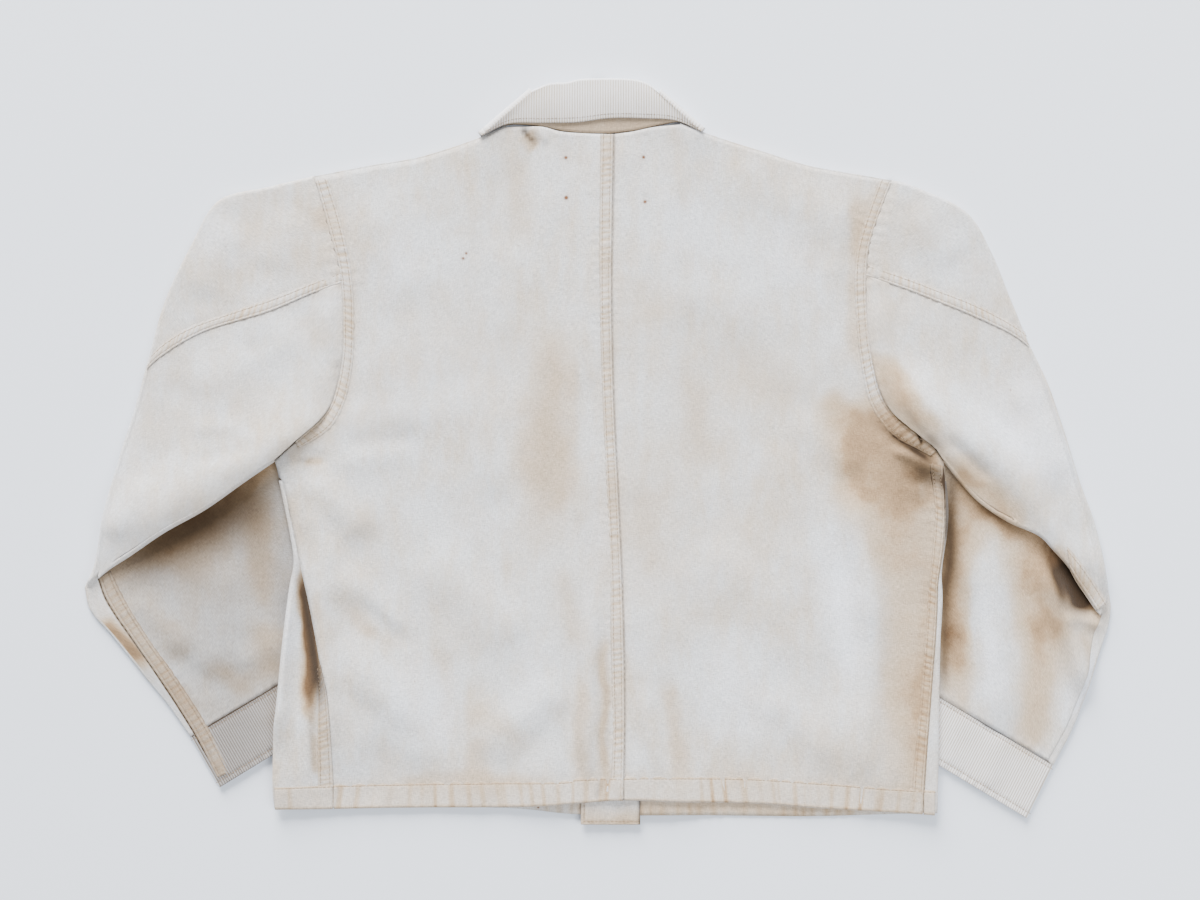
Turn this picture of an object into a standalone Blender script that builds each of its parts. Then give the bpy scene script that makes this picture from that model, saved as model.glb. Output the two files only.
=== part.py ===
"""A brush jacket of cotton duck with a corduroy collar and cuffs, laid flat on its front.

Metres, +Z up, collar towards +Y. The floor is z = 0. Each cut piece of cloth is an open
surface through its seam lines, given its wall by Solidify. The two layers of the body and of
the sleeves lie on each other. Both forearms are folded in and lie under the body, and the
folds at the elbows are three layers deep.
"""

import math

import bpy
import numpy as np

# Cloth and layers.
CLOTH = 0.0012                  # wall of every piece of cloth
SEAM_INSET = 0.0003             # each piece stops this far from its seam line
FLOOR_LAYER = CLOTH / 2         # middle of a layer that lies on the floor
PLY = 0.0030                    # middle of a lower layer to the middle of the one over it
FOLD_STEP = 0.0024              # the same in the elbow's fold
LIFT = 0.0048                   # how far the body and the upper arm rise over a forearm
LIFT_MARGIN = 0.020             # they are this far past the forearm before they come down
LIFT_RAMP = 0.060               # and they come down over this width
FOREARM_TOP = FLOOR_LAYER + PLY
FOLD_RETURN = FOREARM_TOP + FOLD_STEP
EDGE_REACH = 0.0015             # how far an edge bulges past the line where it turns
FRONT_ARMHOLE_GAP = 0.0012      # the sleeve's underside keeps this far from the front

# The closed front, and the collar.
BUTTON_RADIUS = 0.0085
BUTTON_HEIGHT = 0.0020
BUTTON_COUNT = 5
BUTTON_SIDES = 24
BUTTON_LINE = 0.011
BUTTON_FIRST_Y = 0.245
BUTTON_SPACING = 0.128
BUTTON_RISE = 0.0024            # the outer front lies over the buttons
OVERLAP_RISE = 0.0042           # the inner front lies over the outer one
STAND_EDGE = -0.0153
OUTER_FRONT_EDGE = 0.0342
STAND_SEAM = 0.0380
FRONT_RAMP = 0.060
NECK_RISE = 0.0045
NECK_RAMP = 0.070
COLLAR_MIDDLE = 0.0051          # height of the middle of the flattened collar
FALL_OFFSET = 0.0045            # the corduroy fall, above and below that middle
STAND_OFFSET = 0.0027           # the duck stand inside it
STAND_SHORTENED = 0.03          # the stand ends this part of its height below the fold
COLLAR_OPENING = 0.006          # half the gap between the collar's two front ends

# How finely each line is divided.
UPPER_ARMHOLE_ROWS = 4
LOWER_ARMHOLE_ROWS = 7
SIDE_ROWS = 12
SHOULDER_COLUMNS = 8
NECK_COLUMNS = 6
FRONT_NECK_COLUMNS = {"left": 8, "right": 6}
CROSS_SEAM_ROWS = 6
FOREARM_ROWS = 7
UNDERSIDE_COLUMNS = 5
STRIP_COLUMNS = UPPER_ARMHOLE_ROWS
TURN_STEPS = 4

# Seam lines and outlines, as x and y. Left and right are the wearer's.
CENTRE_BACK = [
    (0.0225, -0.3119), (0.0234, -0.2228), (0.0216, -0.1328), (0.0180, -0.0427),
    (0.0135, 0.0473), (0.0117, 0.1372), (0.0121, 0.1976), (0.0135, 0.2862),
]
OUTLINES = {
    "left": {
        "shoulder": [(-0.2556, 0.2480), (-0.2039, 0.2579), (-0.1653, 0.2643), (-0.1360, 0.2726),
                     (-0.1062, 0.2827), (-0.0828, 0.2929)],
        "neck": [(-0.0828, 0.2929), (-0.0513, 0.2929), (-0.0297, 0.2883), (0.0135, 0.2862)],
        "front_neck": [(-0.0828, 0.2929), (-0.0513, 0.2905), (-0.0297, 0.2860), (0.0342, 0.2850)],
        "upper_armhole": [(-0.2556, 0.2480), (-0.2421, 0.2011), (-0.2322, 0.1661),
                          (-0.2313, 0.1530)],
        "lower_armhole": [(-0.2313, 0.1530), (-0.2295, 0.1363), (-0.2299, 0.0877),
                          (-0.2376, 0.0508), (-0.2484, 0.0310), (-0.2700, 0.0112),
                          (-0.2907, -0.0077)],
        "side_seam": [(-0.2907, -0.0077), (-0.2808, -0.0364), (-0.2736, -0.0716),
                      (-0.2673, -0.1021), (-0.2600, -0.1328), (-0.2547, -0.1588),
                      (-0.2488, -0.1895), (-0.2430, -0.2150), (-0.2406, -0.2417),
                      (-0.2385, -0.2858), (-0.2376, -0.3200)],
        "side_fold": [(-0.2907, -0.0077), (-0.2844, -0.0364), (-0.2772, -0.0716),
                      (-0.2735, -0.0977), (-0.2772, -0.1210), (-0.2808, -0.1498),
                      (-0.2844, -0.1822), (-0.2889, -0.2299), (-0.2916, -0.2534),
                      (-0.2925, -0.3001), (-0.2910, -0.3200)],
        "hem": [(-0.2376, -0.3200), (-0.1782, -0.3190), (-0.0702, -0.3181), (-0.0216, -0.3149),
                (0.0225, -0.3119)],
        "front_hem": [(-0.2910, -0.3200), (-0.1782, -0.3200), (-0.0800, -0.3210),
                      (-0.0216, -0.3260), (0.0342, -0.3265)],
    },
    "right": {
        "shoulder": [(0.2646, 0.2443), (0.2130, 0.2532), (0.1854, 0.2587), (0.1413, 0.2724),
                     (0.0954, 0.2871), (0.0738, 0.2950)],
        "neck": [(0.0738, 0.2950), (0.0495, 0.2925), (0.0297, 0.2884), (0.0135, 0.2862)],
        "front_neck": [(0.0738, 0.2950), (0.0600, 0.2900), (0.0480, 0.2865), (0.0380, 0.2850)],
        "upper_armhole": [(0.2646, 0.2443), (0.2529, 0.2147), (0.2457, 0.1948),
                          (0.2412, 0.1598)],
        "lower_armhole": [(0.2412, 0.1598), (0.2417, 0.1462), (0.2430, 0.1075),
                          (0.2484, 0.0760), (0.2547, 0.0536), (0.2646, 0.0364),
                          (0.2826, 0.0203), (0.3006, 0.0067), (0.3105, -0.0077)],
        "side_seam": [(0.3105, -0.0077), (0.3105, -0.0427), (0.3087, -0.0788),
                      (0.3050, -0.1100), (0.3040, -0.1400), (0.3024, -0.1777),
                      (0.2988, -0.2228), (0.2943, -0.2767), (0.2916, -0.3245)],
        "side_fold": [(0.3105, -0.0077), (0.3145, -0.0427), (0.3141, -0.0697),
                      (0.3090, -0.1057), (0.3096, -0.1328), (0.3078, -0.1687),
                      (0.3069, -0.2137), (0.3060, -0.2790), (0.3051, -0.3245)],
        "hem": [(0.2916, -0.3245), (0.2088, -0.3200), (0.1458, -0.3155), (0.0738, -0.3136),
                (0.0225, -0.3119)],
        "front_hem": [(0.3051, -0.3245), (0.2088, -0.3280), (0.1458, -0.3280),
                      (0.0738, -0.3270), (0.0380, -0.3270)],
    },
}
STAND_HEM = -0.3352
STAND_TOP = 0.2850

# The sleeves. Each ring goes from the inner edge under the arm, along the floor to the outer
# edge, and round it to the seam on top: zone "head" is above the cross seam, "elbow" reaches
# the fold, and "forearm" the cuff.
RING_COLUMNS = ("outer_x", "outer_y", "inner_x", "inner_y", "seam_x", "seam_y")
SLEEVES = {
    "left": {
        "head": [
            (-0.2556, 0.2480, -0.2385, 0.0480, -0.2313, 0.1530),
            (-0.2952, 0.2390, -0.2440, 0.0400, -0.2601, 0.1427),
            (-0.3420, 0.2263, -0.2470, 0.0330, -0.2988, 0.1265),
            (-0.3672, 0.1850, -0.2510, 0.0257, -0.3474, 0.1121),
            (-0.3897, 0.1373, -0.2530, 0.0203, -0.3726, 0.1004),
            (-0.4059, 0.0815, -0.2545, 0.0140, -0.4014, 0.0833),
        ],
        "elbow": [
            (-0.4059, 0.0815, -0.2545, 0.0140, -0.4014, 0.0833),
            (-0.4176, 0.0392, -0.2560, 0.0085, -0.4131, 0.0383),
            (-0.4320, -0.0068, -0.2570, 0.0022, -0.4275, -0.0077),
            (-0.4446, -0.0536, -0.2575, -0.0050, -0.4392, -0.0545),
            (-0.4527, -0.0986, -0.2565, -0.0203, -0.4464, -0.0941),
            (-0.4626, -0.1220, -0.2538, -0.0401, -0.4500, -0.1130),
        ],
        "forearm": [
            (-0.4626, -0.1220, -0.2538, -0.0401, -0.4500, -0.1130),
            (-0.4572, -0.1427, -0.2520, -0.0698, -0.4410, -0.1355),
            (-0.4374, -0.1661, -0.2502, -0.0986, -0.4212, -0.1652),
            (-0.4068, -0.2039, -0.2484, -0.1328, -0.3951, -0.2021),
            (-0.3870, -0.2282, -0.2457, -0.1598, -0.3780, -0.2264),
            (-0.3672, -0.2561, -0.2426, -0.1823, -0.3618, -0.2525),
        ],
        "first_fold": [(-0.2907, -0.0077), (-0.3195, -0.0275), (-0.3528, -0.0509),
                       (-0.3897, -0.0716), (-0.4203, -0.0923), (-0.4374, -0.1031),
                       (-0.4446, -0.1085), (-0.4500, -0.1130)],
        "second_fold": [(-0.2817, 0.0176), (-0.3411, 0.0032), (-0.3699, -0.0257),
                        (-0.4023, -0.0518), (-0.4266, -0.0797), (-0.4380, -0.0941),
                        (-0.4428, -0.1004), (-0.4460, -0.1075)],
        "inner_edge": [(-0.2817, 0.0176), (-0.2640, -0.0010), (-0.2560, -0.0203),
                       (-0.2538, -0.0401), (-0.2520, -0.0698), (-0.2502, -0.0986),
                       (-0.2484, -0.1328), (-0.2426, -0.1823)],
        "cuff_seam": [(-0.3672, -0.2561), (-0.2426, -0.1823)],
        "cuff_end": [(-0.3411, -0.3020), (-0.2160, -0.2255)],
    },
    "right": {
        "head": [
            (0.2646, 0.2443, 0.2560, 0.0500, 0.2412, 0.1598),
            (0.2826, 0.2398, 0.2640, 0.0425, 0.2763, 0.1480),
            (0.3312, 0.2165, 0.2700, 0.0345, 0.3060, 0.1364),
            (0.3546, 0.1796, 0.2745, 0.0290, 0.3348, 0.1247),
            (0.3708, 0.1400, 0.2770, 0.0220, 0.3645, 0.1112),
            (0.3879, 0.0986, 0.2795, 0.0150, 0.3834, 0.1004),
        ],
        "elbow": [
            (0.3879, 0.0986, 0.2795, 0.0150, 0.3834, 0.1004),
            (0.4050, 0.0626, 0.2820, 0.0068, 0.4005, 0.0608),
            (0.4194, 0.0203, 0.2840, -0.0022, 0.4149, 0.0185),
            (0.4338, -0.0266, 0.2855, -0.0113, 0.4293, -0.0284),
            (0.4491, -0.0716, 0.2873, -0.0230, 0.4428, -0.0752),
            (0.4626, -0.1391, 0.2890, -0.0383, 0.4540, -0.1463),
        ],
        "forearm": [
            (0.4626, -0.1391, 0.2890, -0.0383, 0.4540, -0.1463),
            (0.4600, -0.1562, 0.2898, -0.0700, 0.4470, -0.1634),
            (0.4536, -0.1760, 0.2898, -0.1060, 0.4428, -0.1823),
            (0.4455, -0.1994, 0.2889, -0.1420, 0.4392, -0.2012),
            (0.4302, -0.2435, 0.2880, -0.1780, 0.4248, -0.2426),
            (0.4104, -0.2822, 0.2871, -0.2084, 0.4059, -0.2777),
        ],
        "first_fold": [(0.3105, -0.0077), (0.3339, -0.0356), (0.3501, -0.0500),
                       (0.3717, -0.0635), (0.3960, -0.0743), (0.4104, -0.0887),
                       (0.4230, -0.1031), (0.4347, -0.1202), (0.4470, -0.1400),
                       (0.4524, -0.1463)],
        "second_fold": [(0.3132, 0.0185), (0.3500, -0.0080), (0.3680, -0.0257),
                        (0.3840, -0.0390), (0.4030, -0.0500), (0.4170, -0.0660),
                        (0.4284, -0.0840), (0.4392, -0.1060), (0.4480, -0.1300),
                        (0.4512, -0.1400)],
        "inner_edge": [(0.3132, 0.0185), (0.2980, 0.0000), (0.2907, -0.0203),
                       (0.2890, -0.0383), (0.2898, -0.0700), (0.2898, -0.1060),
                       (0.2889, -0.1420), (0.2871, -0.2084)],
        "cuff_seam": [(0.4104, -0.2822), (0.2871, -0.2084)],
        "cuff_end": [(0.3866, -0.3298), (0.2628, -0.2552)],
    },
}

# The largest folds on the layers that show: a soft ridge along a straight line, or a trough
# where the height is below zero.
FOLD_COLUMNS = ("x0", "y0", "x1", "y1", "height", "half_width")
BODY_FOLDS = [
    (-0.2800, -0.1300, -0.2850, -0.2300, 0.0040, 0.012),
    (-0.2600, -0.1400, -0.2540, -0.2400, -0.0012, 0.012),
    (-0.2400, -0.0650, -0.1700, -0.1600, 0.0022, 0.024),
    (-0.1500, -0.1900, -0.0700, -0.2750, 0.0020, 0.024),
    (-0.0040, -0.1300, -0.0060, -0.2900, 0.0030, 0.016),
    (0.2250, 0.0350, 0.2850, -0.0050, 0.0040, 0.018),
    (0.2500, -0.0450, 0.2950, -0.0300, 0.0030, 0.018),
    (0.2100, -0.1400, 0.2500, -0.2600, 0.0020, 0.024),
]
UPPER_ARM_FOLDS = [
    (-0.2800, 0.0250, -0.4100, -0.0650, 0.0035, 0.028),
    (0.3050, 0.0250, 0.4250, -0.0700, 0.0035, 0.028),
    (0.3700, 0.0600, 0.4200, -0.0300, 0.0020, 0.024),
]
FOREARM_FOLDS = {
    "left": [(-0.3500, -0.1100, -0.3350, -0.1900, 0.0025, 0.020)],
    "right": [(0.4100, -0.1180, 0.4350, -0.2050, 0.0075, 0.011),
              (0.3500, -0.1200, 0.3650, -0.2200, 0.0020, 0.022)],
}

# The collar as it lies: its lower edge, its rolled top edge, and the duck stand's seam.
COLLAR_LOWER = [(-0.1010, 0.2885), (-0.0794, 0.2973), (-0.0495, 0.2962), (-0.0198, 0.2968),
                (0.0099, 0.3005), (0.0396, 0.3005), (0.0700, 0.2985), (0.0870, 0.2930)]
COLLAR_UPPER = [(-0.0600, 0.3235), (-0.0436, 0.3300), (-0.0288, 0.3310), (-0.0138, 0.3340),
                (0.0146, 0.3345), (0.0324, 0.3335), (0.0445, 0.3300), (0.0549, 0.3225)]
STAND_LOWER = [(-0.0930, 0.2935), (-0.0780, 0.2960), (-0.0513, 0.2940), (-0.0297, 0.2895),
               (0.0018, 0.2874), (0.0297, 0.2896), (0.0495, 0.2938), (0.0700, 0.2980),
               (0.0800, 0.2965)]
COLLAR_BACK_COLUMNS = 10
COLLAR_FRONT_COLUMNS = 5
COLLAR_ROWS = 3

DUCK = (0.80, 0.78, 0.73, 1.0)
DUCK_SHADE = (0.74, 0.70, 0.63, 1.0)
CORDUROY = (0.77, 0.75, 0.70, 1.0)
BUTTON_BRASS = (0.45, 0.33, 0.18, 1.0)


# ---------------------------------------------------------------- lines and heights

def smooth_step(value):
    """0 below 0 and 1 above 1, with a soft start and end."""
    value = np.clip(value, 0.0, 1.0)
    return value * value * (3.0 - 2.0 * value)


def through(points, count):
    """count + 1 points on the smooth curve through the given ones."""
    points = np.array(points, float)
    ends = np.vstack([2 * points[0] - points[1], points, 2 * points[-1] - points[-2]])
    place = np.linspace(0, len(points) - 1, count + 1)
    span = np.minimum(place.astype(int), len(points) - 2)
    part = (place - span)[:, None]
    before, start, end, after = (ends[span + step] for step in range(4))
    return 0.5 * (2 * start + (end - before) * part
                  + (2 * before - 5 * start + 4 * end - after) * part ** 2
                  + (3 * start - 3 * end + after - before) * part ** 3)


def patch(first_row, last_row, first_column, last_column):
    """A grid of points between four lines. Rows run from first_row to last_row."""
    down = np.linspace(0, 1, len(first_column))[:, None, None]
    across = np.linspace(0, 1, len(first_row))[None, :, None]
    ruled_down = (1 - down) * first_row[None] + down * last_row[None]
    ruled_across = (1 - across) * first_column[:, None] + across * last_column[:, None]
    corners = ((1 - down) * ((1 - across) * first_row[0] + across * first_row[-1])
               + down * ((1 - across) * last_row[0] + across * last_row[-1]))
    return ruled_down + ruled_across - corners


def distance_to_line(points, start, end):
    """How far each point is from the straight line between start and end."""
    start = np.array(start)
    along = np.array(end) - start
    part = np.clip(((points - start) @ along) / (along @ along), 0, 1)
    return np.linalg.norm(points - start - part[..., None] * along, axis=-1)


def distance_outside(points, corners):
    """How far each point is outside a closed outline, and 0 inside it."""
    nearest = np.full(points.shape[:-1], np.inf)
    inside = np.zeros(points.shape[:-1], bool)
    for start, end in zip(corners, np.roll(corners, -1, axis=0)):
        nearest = np.minimum(nearest, distance_to_line(points, start, end))
        crosses = (start[1] > points[..., 1]) != (end[1] > points[..., 1])
        rise = np.where(crosses, end[1] - start[1], 1.0)
        at = start[0] + (points[..., 1] - start[1]) / rise * (end[0] - start[0])
        inside ^= crosses & (points[..., 0] < at)
    return np.where(inside, 0.0, nearest)


def forearm_outline(sleeve):
    """The outline of the forearm and the cuff, which everything over them clears."""
    outer = [(row[0], row[1]) for row in sleeve["forearm"]]
    return np.array(sleeve["second_fold"] + outer + sleeve["cuff_end"]
                    + sleeve["inner_edge"][:0:-1])


FOREARMS = [forearm_outline(sleeve) for sleeve in SLEEVES.values()]


def lift(points):
    """The rise of the body and of the upper arms over the folded forearms."""
    away = np.minimum(*(distance_outside(points, outline) for outline in FOREARMS))
    return LIFT * (1 - smooth_step((away - LIFT_MARGIN) / LIFT_RAMP))


def folds(points, table):
    """The soft ridges and troughs of a table, added up."""
    total = np.zeros(points.shape[:-1])
    for row in table:
        fold = dict(zip(FOLD_COLUMNS, row))
        away = distance_to_line(points, (fold["x0"], fold["y0"]), (fold["x1"], fold["y1"]))
        total += fold["height"] * np.exp(-(away / fold["half_width"]) ** 2)
    return total


def outer_front_height(points):
    """The wearer's left front, which is outermost and lies over the buttons."""
    ramp = smooth_step((points[..., 0] - BUTTON_LINE + 0.035 + FRONT_RAMP) / FRONT_RAMP)
    return FLOOR_LAYER + lift(points) + BUTTON_RISE * ramp


def inner_front_height(points):
    """The wearer's right front and its button stand, which lie over the left front."""
    ramp = 1 - smooth_step((points[..., 0] - OUTER_FRONT_EDGE - LIFT_MARGIN) / FRONT_RAMP)
    return FLOOR_LAYER + lift(points) + OVERLAP_RISE * ramp


def back_height(points):
    """The back, over both fronts and up to the collar."""
    x = points[..., 0]
    over_left = smooth_step((x - STAND_EDGE + LIFT_MARGIN + FRONT_RAMP) / FRONT_RAMP)
    over_right = 1 - smooth_step((x - OUTER_FRONT_EDGE - LIFT_MARGIN) / FRONT_RAMP)
    neck = distance_to_line(points, (-0.070, 0.295), (0.065, 0.295))
    neck_rise = NECK_RISE * (1 - smooth_step(neck / NECK_RAMP))
    return (FLOOR_LAYER + PLY + lift(points) + np.maximum(OVERLAP_RISE * over_left * over_right,
            neck_rise) + folds(points, BODY_FOLDS))


def upper_arm_height(points):
    """The top layer of a sleeve, from the armhole down to the elbow's fold."""
    return FLOOR_LAYER + PLY + lift(points) + folds(points, UPPER_ARM_FOLDS + BODY_FOLDS)


def raised(points, height):
    """Points in the plane given a height: a number, an array or a function of the points."""
    values = height(points) if callable(height) else np.broadcast_to(height, points.shape[:-1])
    return np.concatenate([points, values[..., None]], axis=-1)


def turn(start, end, outward, reach=EDGE_REACH, steps=TURN_STEPS):
    """The points between start and end, which lie over each other, round a bulging edge."""
    middle = (start + end) / 2
    half = (start - end) / 2
    outward = np.concatenate([outward, np.zeros(outward.shape[:-1] + (1,))], axis=-1)
    rows = []
    for step in range(1, steps):
        angle = math.pi * step / steps
        rows.append(middle + half * math.cos(angle) + outward * reach * math.sin(angle))
    return rows


def pulled_in(grid, first_row=False, last_row=False, first_column=False, last_column=False):
    """A grid with the named edges moved in by half a seam's gap."""
    grid = grid.copy()
    sides = ((first_row, grid[0], grid[1]), (last_row, grid[-1], grid[-2]),
             (first_column, grid[:, 0], grid[:, 1]), (last_column, grid[:, -1], grid[:, -2]))
    for wanted, edge, next_to in sides:
        if wanted:
            step = next_to - edge
            edge += SEAM_INSET * step / np.linalg.norm(step, axis=-1, keepdims=True)
    return grid


# ---------------------------------------------------------------- objects

for old in list(bpy.data.objects):
    bpy.data.objects.remove(old, do_unlink=True)

collection = bpy.data.collections.new("brush_jacket")
bpy.context.scene.collection.children.link(collection)


def finish_of(name, colour, roughness, metallic=0.0):
    """A Principled material of one colour."""
    material = bpy.data.materials.new(name)
    material.use_nodes = True
    shader = material.node_tree.nodes["Principled BSDF"]
    shader.inputs["Base Color"].default_value = colour
    shader.inputs["Roughness"].default_value = roughness
    shader.inputs["Metallic"].default_value = metallic
    material.diffuse_color = colour
    return material


def cloth(name, grids, colour, closed=False):
    """One cut piece: its grids joined where they share an edge, with the wall of the cloth."""
    points = []
    faces = []
    for grid in grids:
        rows, columns = grid.shape[:2]
        start = len(points)
        points += [tuple(point) for point in grid.reshape(-1, 3)]
        last = columns if closed else columns - 1
        for row in range(rows - 1):
            for column in range(last):
                beside = (column + 1) % columns
                faces.append((start + row * columns + column, start + row * columns + beside,
                              start + (row + 1) * columns + beside,
                              start + (row + 1) * columns + column))
    mesh = bpy.data.meshes.new(name)
    mesh.from_pydata(points, [], faces)
    mesh.materials.append(finish_of(name + "_cloth", colour, 0.9))
    piece = bpy.data.objects.new(name, mesh)
    collection.objects.link(piece)
    weld = piece.modifiers.new("join the grids", "WELD")
    weld.merge_threshold = 0.00002
    wall = piece.modifiers.new("wall", "SOLIDIFY")
    wall.thickness = CLOTH
    wall.offset = 0.0
    wall.use_even_offset = True
    mesh.shade_smooth()
    return piece


# ---------------------------------------------------------------- back and fronts

def side_line(outline, lower):
    """A panel's outer line from the hem up to the shoulder. lower is its part up to the armpit."""
    lower = through(outline[lower][::-1], SIDE_ROWS)
    armhole = through(outline["lower_armhole"][::-1], LOWER_ARMHOLE_ROWS)
    head = through(outline["upper_armhole"][::-1], UPPER_ARMHOLE_ROWS)
    return np.vstack([lower, armhole[1:], head[1:]])


BODY_ROWS = SIDE_ROWS + LOWER_ARMHOLE_ROWS + UPPER_ARMHOLE_ROWS


def back_panel(side):
    """Half of the back, from its side seam and armhole to the centre-back seam."""
    outline = OUTLINES[side]
    shoulder = through(outline["shoulder"], SHOULDER_COLUMNS)
    top = np.vstack([shoulder, through(outline["neck"], NECK_COLUMNS)[1:]])
    hem = through(outline["hem"], SHOULDER_COLUMNS + NECK_COLUMNS)
    flat = patch(hem, top, side_line(outline, "side_seam"), through(CENTRE_BACK, BODY_ROWS))
    grid = pulled_in(raised(flat, back_height), last_row=True, first_column=True,
                     last_column=True)
    cloth("back_" + side, [grid], DUCK)


def front_panel(side, edge_x, height, outward):
    """A front: its layer on the floor, the shoulder's turn, and the strip that comes round the
    side to the side seam."""
    outline = OUTLINES[side]
    neck_columns = FRONT_NECK_COLUMNS[side]
    shoulder = through(outline["shoulder"], SHOULDER_COLUMNS)
    top = np.vstack([shoulder, through(outline["front_neck"], neck_columns)[1:]])
    hem = through(outline["front_hem"], SHOULDER_COLUMNS + neck_columns)
    edge = through([(edge_x, hem[-1][1]), (edge_x, top[-1][1])], BODY_ROWS)
    outer = side_line(outline, "side_fold")
    outer[:SIDE_ROWS - 1, 0] -= outward * EDGE_REACH
    hem[0] = outer[0]
    floor = raised(patch(hem, top, outer, edge), height)

    shoulder_line = floor[-1, :SHOULDER_COLUMNS + 1]
    over = raised(shoulder_line[:, :2], back_height)
    upward = np.tile((0.0, 1.0), (SHOULDER_COLUMNS + 1, 1))
    shoulder_turn = np.array([shoulder_line] + turn(shoulder_line, over, upward, reach=0.0008))

    seam = through(outline["side_seam"][::-1], SIDE_ROWS)[:SIDE_ROWS - 1]
    fold = floor[:SIDE_ROWS - 1, 0]
    top_fold = raised(fold[:, :2], back_height)
    sideways = np.tile((outward, 0.0), (SIDE_ROWS - 1, 1))
    middle = raised((fold[:, :2] + seam) / 2, back_height)
    seam = raised(seam, back_height)
    strip = [seam, middle, top_fold] + turn(top_fold, fold, sideways) + [fold]
    strip = pulled_in(np.stack(strip, axis=1), first_column=True)

    cloth("front_" + side, [floor, shoulder_turn, strip], DUCK)


for side in OUTLINES:
    back_panel(side)
front_panel("left", OUTER_FRONT_EDGE, outer_front_height, -1)
front_panel("right", STAND_SEAM, inner_front_height, 1)

stand_rows = through([(STAND_EDGE, STAND_HEM), (STAND_EDGE, STAND_TOP)], BODY_ROWS)
stand_inner = through([(STAND_SEAM, STAND_HEM), (STAND_SEAM, STAND_TOP)], BODY_ROWS)
stand_across = np.linspace(0, 1, 4)[None, :, None]
stand_flat = (1 - stand_across) * stand_rows[:, None] + stand_across * stand_inner[:, None]
cloth("button_stand", [pulled_in(raised(stand_flat, inner_front_height), last_column=True)],
      DUCK_SHADE)

button_finish = finish_of("button_brass", BUTTON_BRASS, 0.4, 1.0)
for number in range(BUTTON_COUNT):
    place = (BUTTON_LINE, BUTTON_FIRST_Y - number * BUTTON_SPACING, BUTTON_HEIGHT / 2)
    bpy.ops.mesh.primitive_cylinder_add(vertices=BUTTON_SIDES, radius=BUTTON_RADIUS,
                                        depth=BUTTON_HEIGHT, location=place)
    button = bpy.context.object
    button.name = f"button_{number + 1}"
    button.data.materials.append(button_finish)
    for holder in list(button.users_collection):
        holder.objects.unlink(button)
    collection.objects.link(button)


# ---------------------------------------------------------------- sleeves and cuffs

def ring_lines(sleeve, zones):
    """The outer, inner and seam lines of a sleeve through the named zones."""
    rows_of = {"head": CROSS_SEAM_ROWS, "elbow": LOWER_ARMHOLE_ROWS, "forearm": FOREARM_ROWS}
    parts = [through(sleeve[zone], rows_of[zone]) for zone in zones]
    rings = dict(zip(RING_COLUMNS, np.vstack([parts[0]] + [part[1:] for part in parts[1:]]).T))
    return [np.stack([rings[line + "_x"], rings[line + "_y"]], axis=1)
            for line in ("outer", "inner", "seam")]


def outward_of(line, towards):
    """The unit direction across a line, on the side away from the points in towards."""
    along = np.gradient(line, axis=0)
    across = np.stack([-along[:, 1], along[:, 0]], axis=1)
    across /= np.linalg.norm(across, axis=1, keepdims=True)
    facing = np.sign(np.sum(across * (line - towards), axis=1, keepdims=True))
    return across * facing


def front_armhole(side, lowest):
    """The armhole on the floor, from the point where the forearm's edge starts to the shoulder."""
    outline = OUTLINES[side]
    lower = [point for point in outline["lower_armhole"][::-1] if point[1] > lowest[1] + 0.003]
    return [tuple(lowest)] + lower + outline["upper_armhole"][-2::-1]


def top_sleeve(side):
    """The outer piece of a sleeve: its underside on the floor, the outer edge's turn, and what
    lies on top of it as far as the seam."""
    sleeve = SLEEVES[side]
    sign = np.sign(sleeve["head"][0][0])
    outer, inner, seam = ring_lines(sleeve, ("head", "elbow", "forearm"))
    out = outward_of(outer, inner)
    out[0] = out[1]
    base = outer - EDGE_REACH * out
    on_forearm = np.arange(len(outer)) > CROSS_SEAM_ROWS + LOWER_ARMHOLE_ROWS
    across = np.linspace(0, 1, STRIP_COLUMNS + 1)[None, :, None]
    strip = (1 - across) * base[:, None] + across * seam[:, None]
    head = through(OUTLINES[side]["upper_armhole"], STRIP_COLUMNS)
    strip[0] = head
    easing = np.linspace(1, 0, CROSS_SEAM_ROWS + 1)[:, None, None] ** 2
    straight = (1 - across) * head[0] + across * head[-1]
    strip[1:CROSS_SEAM_ROWS + 1] += (easing * (head - straight[0])[None])[1:]
    height = upper_arm_height(strip)
    height[on_forearm] = FOREARM_TOP
    strip = raised(strip, height)
    across = np.linspace(0, 1, UNDERSIDE_COLUMNS + 1)[None, :, None]
    underside = (1 - across) * inner[:, None] + across * base[:, None]
    armhole = np.array(front_armhole(side, inner[0])) + (FRONT_ARMHOLE_GAP * sign, 0)
    bow = through(armhole, UNDERSIDE_COLUMNS) - underside[0]
    underside[:CROSS_SEAM_ROWS + 1] += bow[None] * easing
    underside = raised(underside, FLOOR_LAYER)
    grid = np.concatenate([underside] + [row[:, None] for row in
                          turn(underside[:, -1], strip[:, 0], out)] + [strip], axis=1)
    cloth("sleeve_%s_top" % side,
          [pulled_in(grid, first_row=True, last_row=True, last_column=True)], DUCK)


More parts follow.
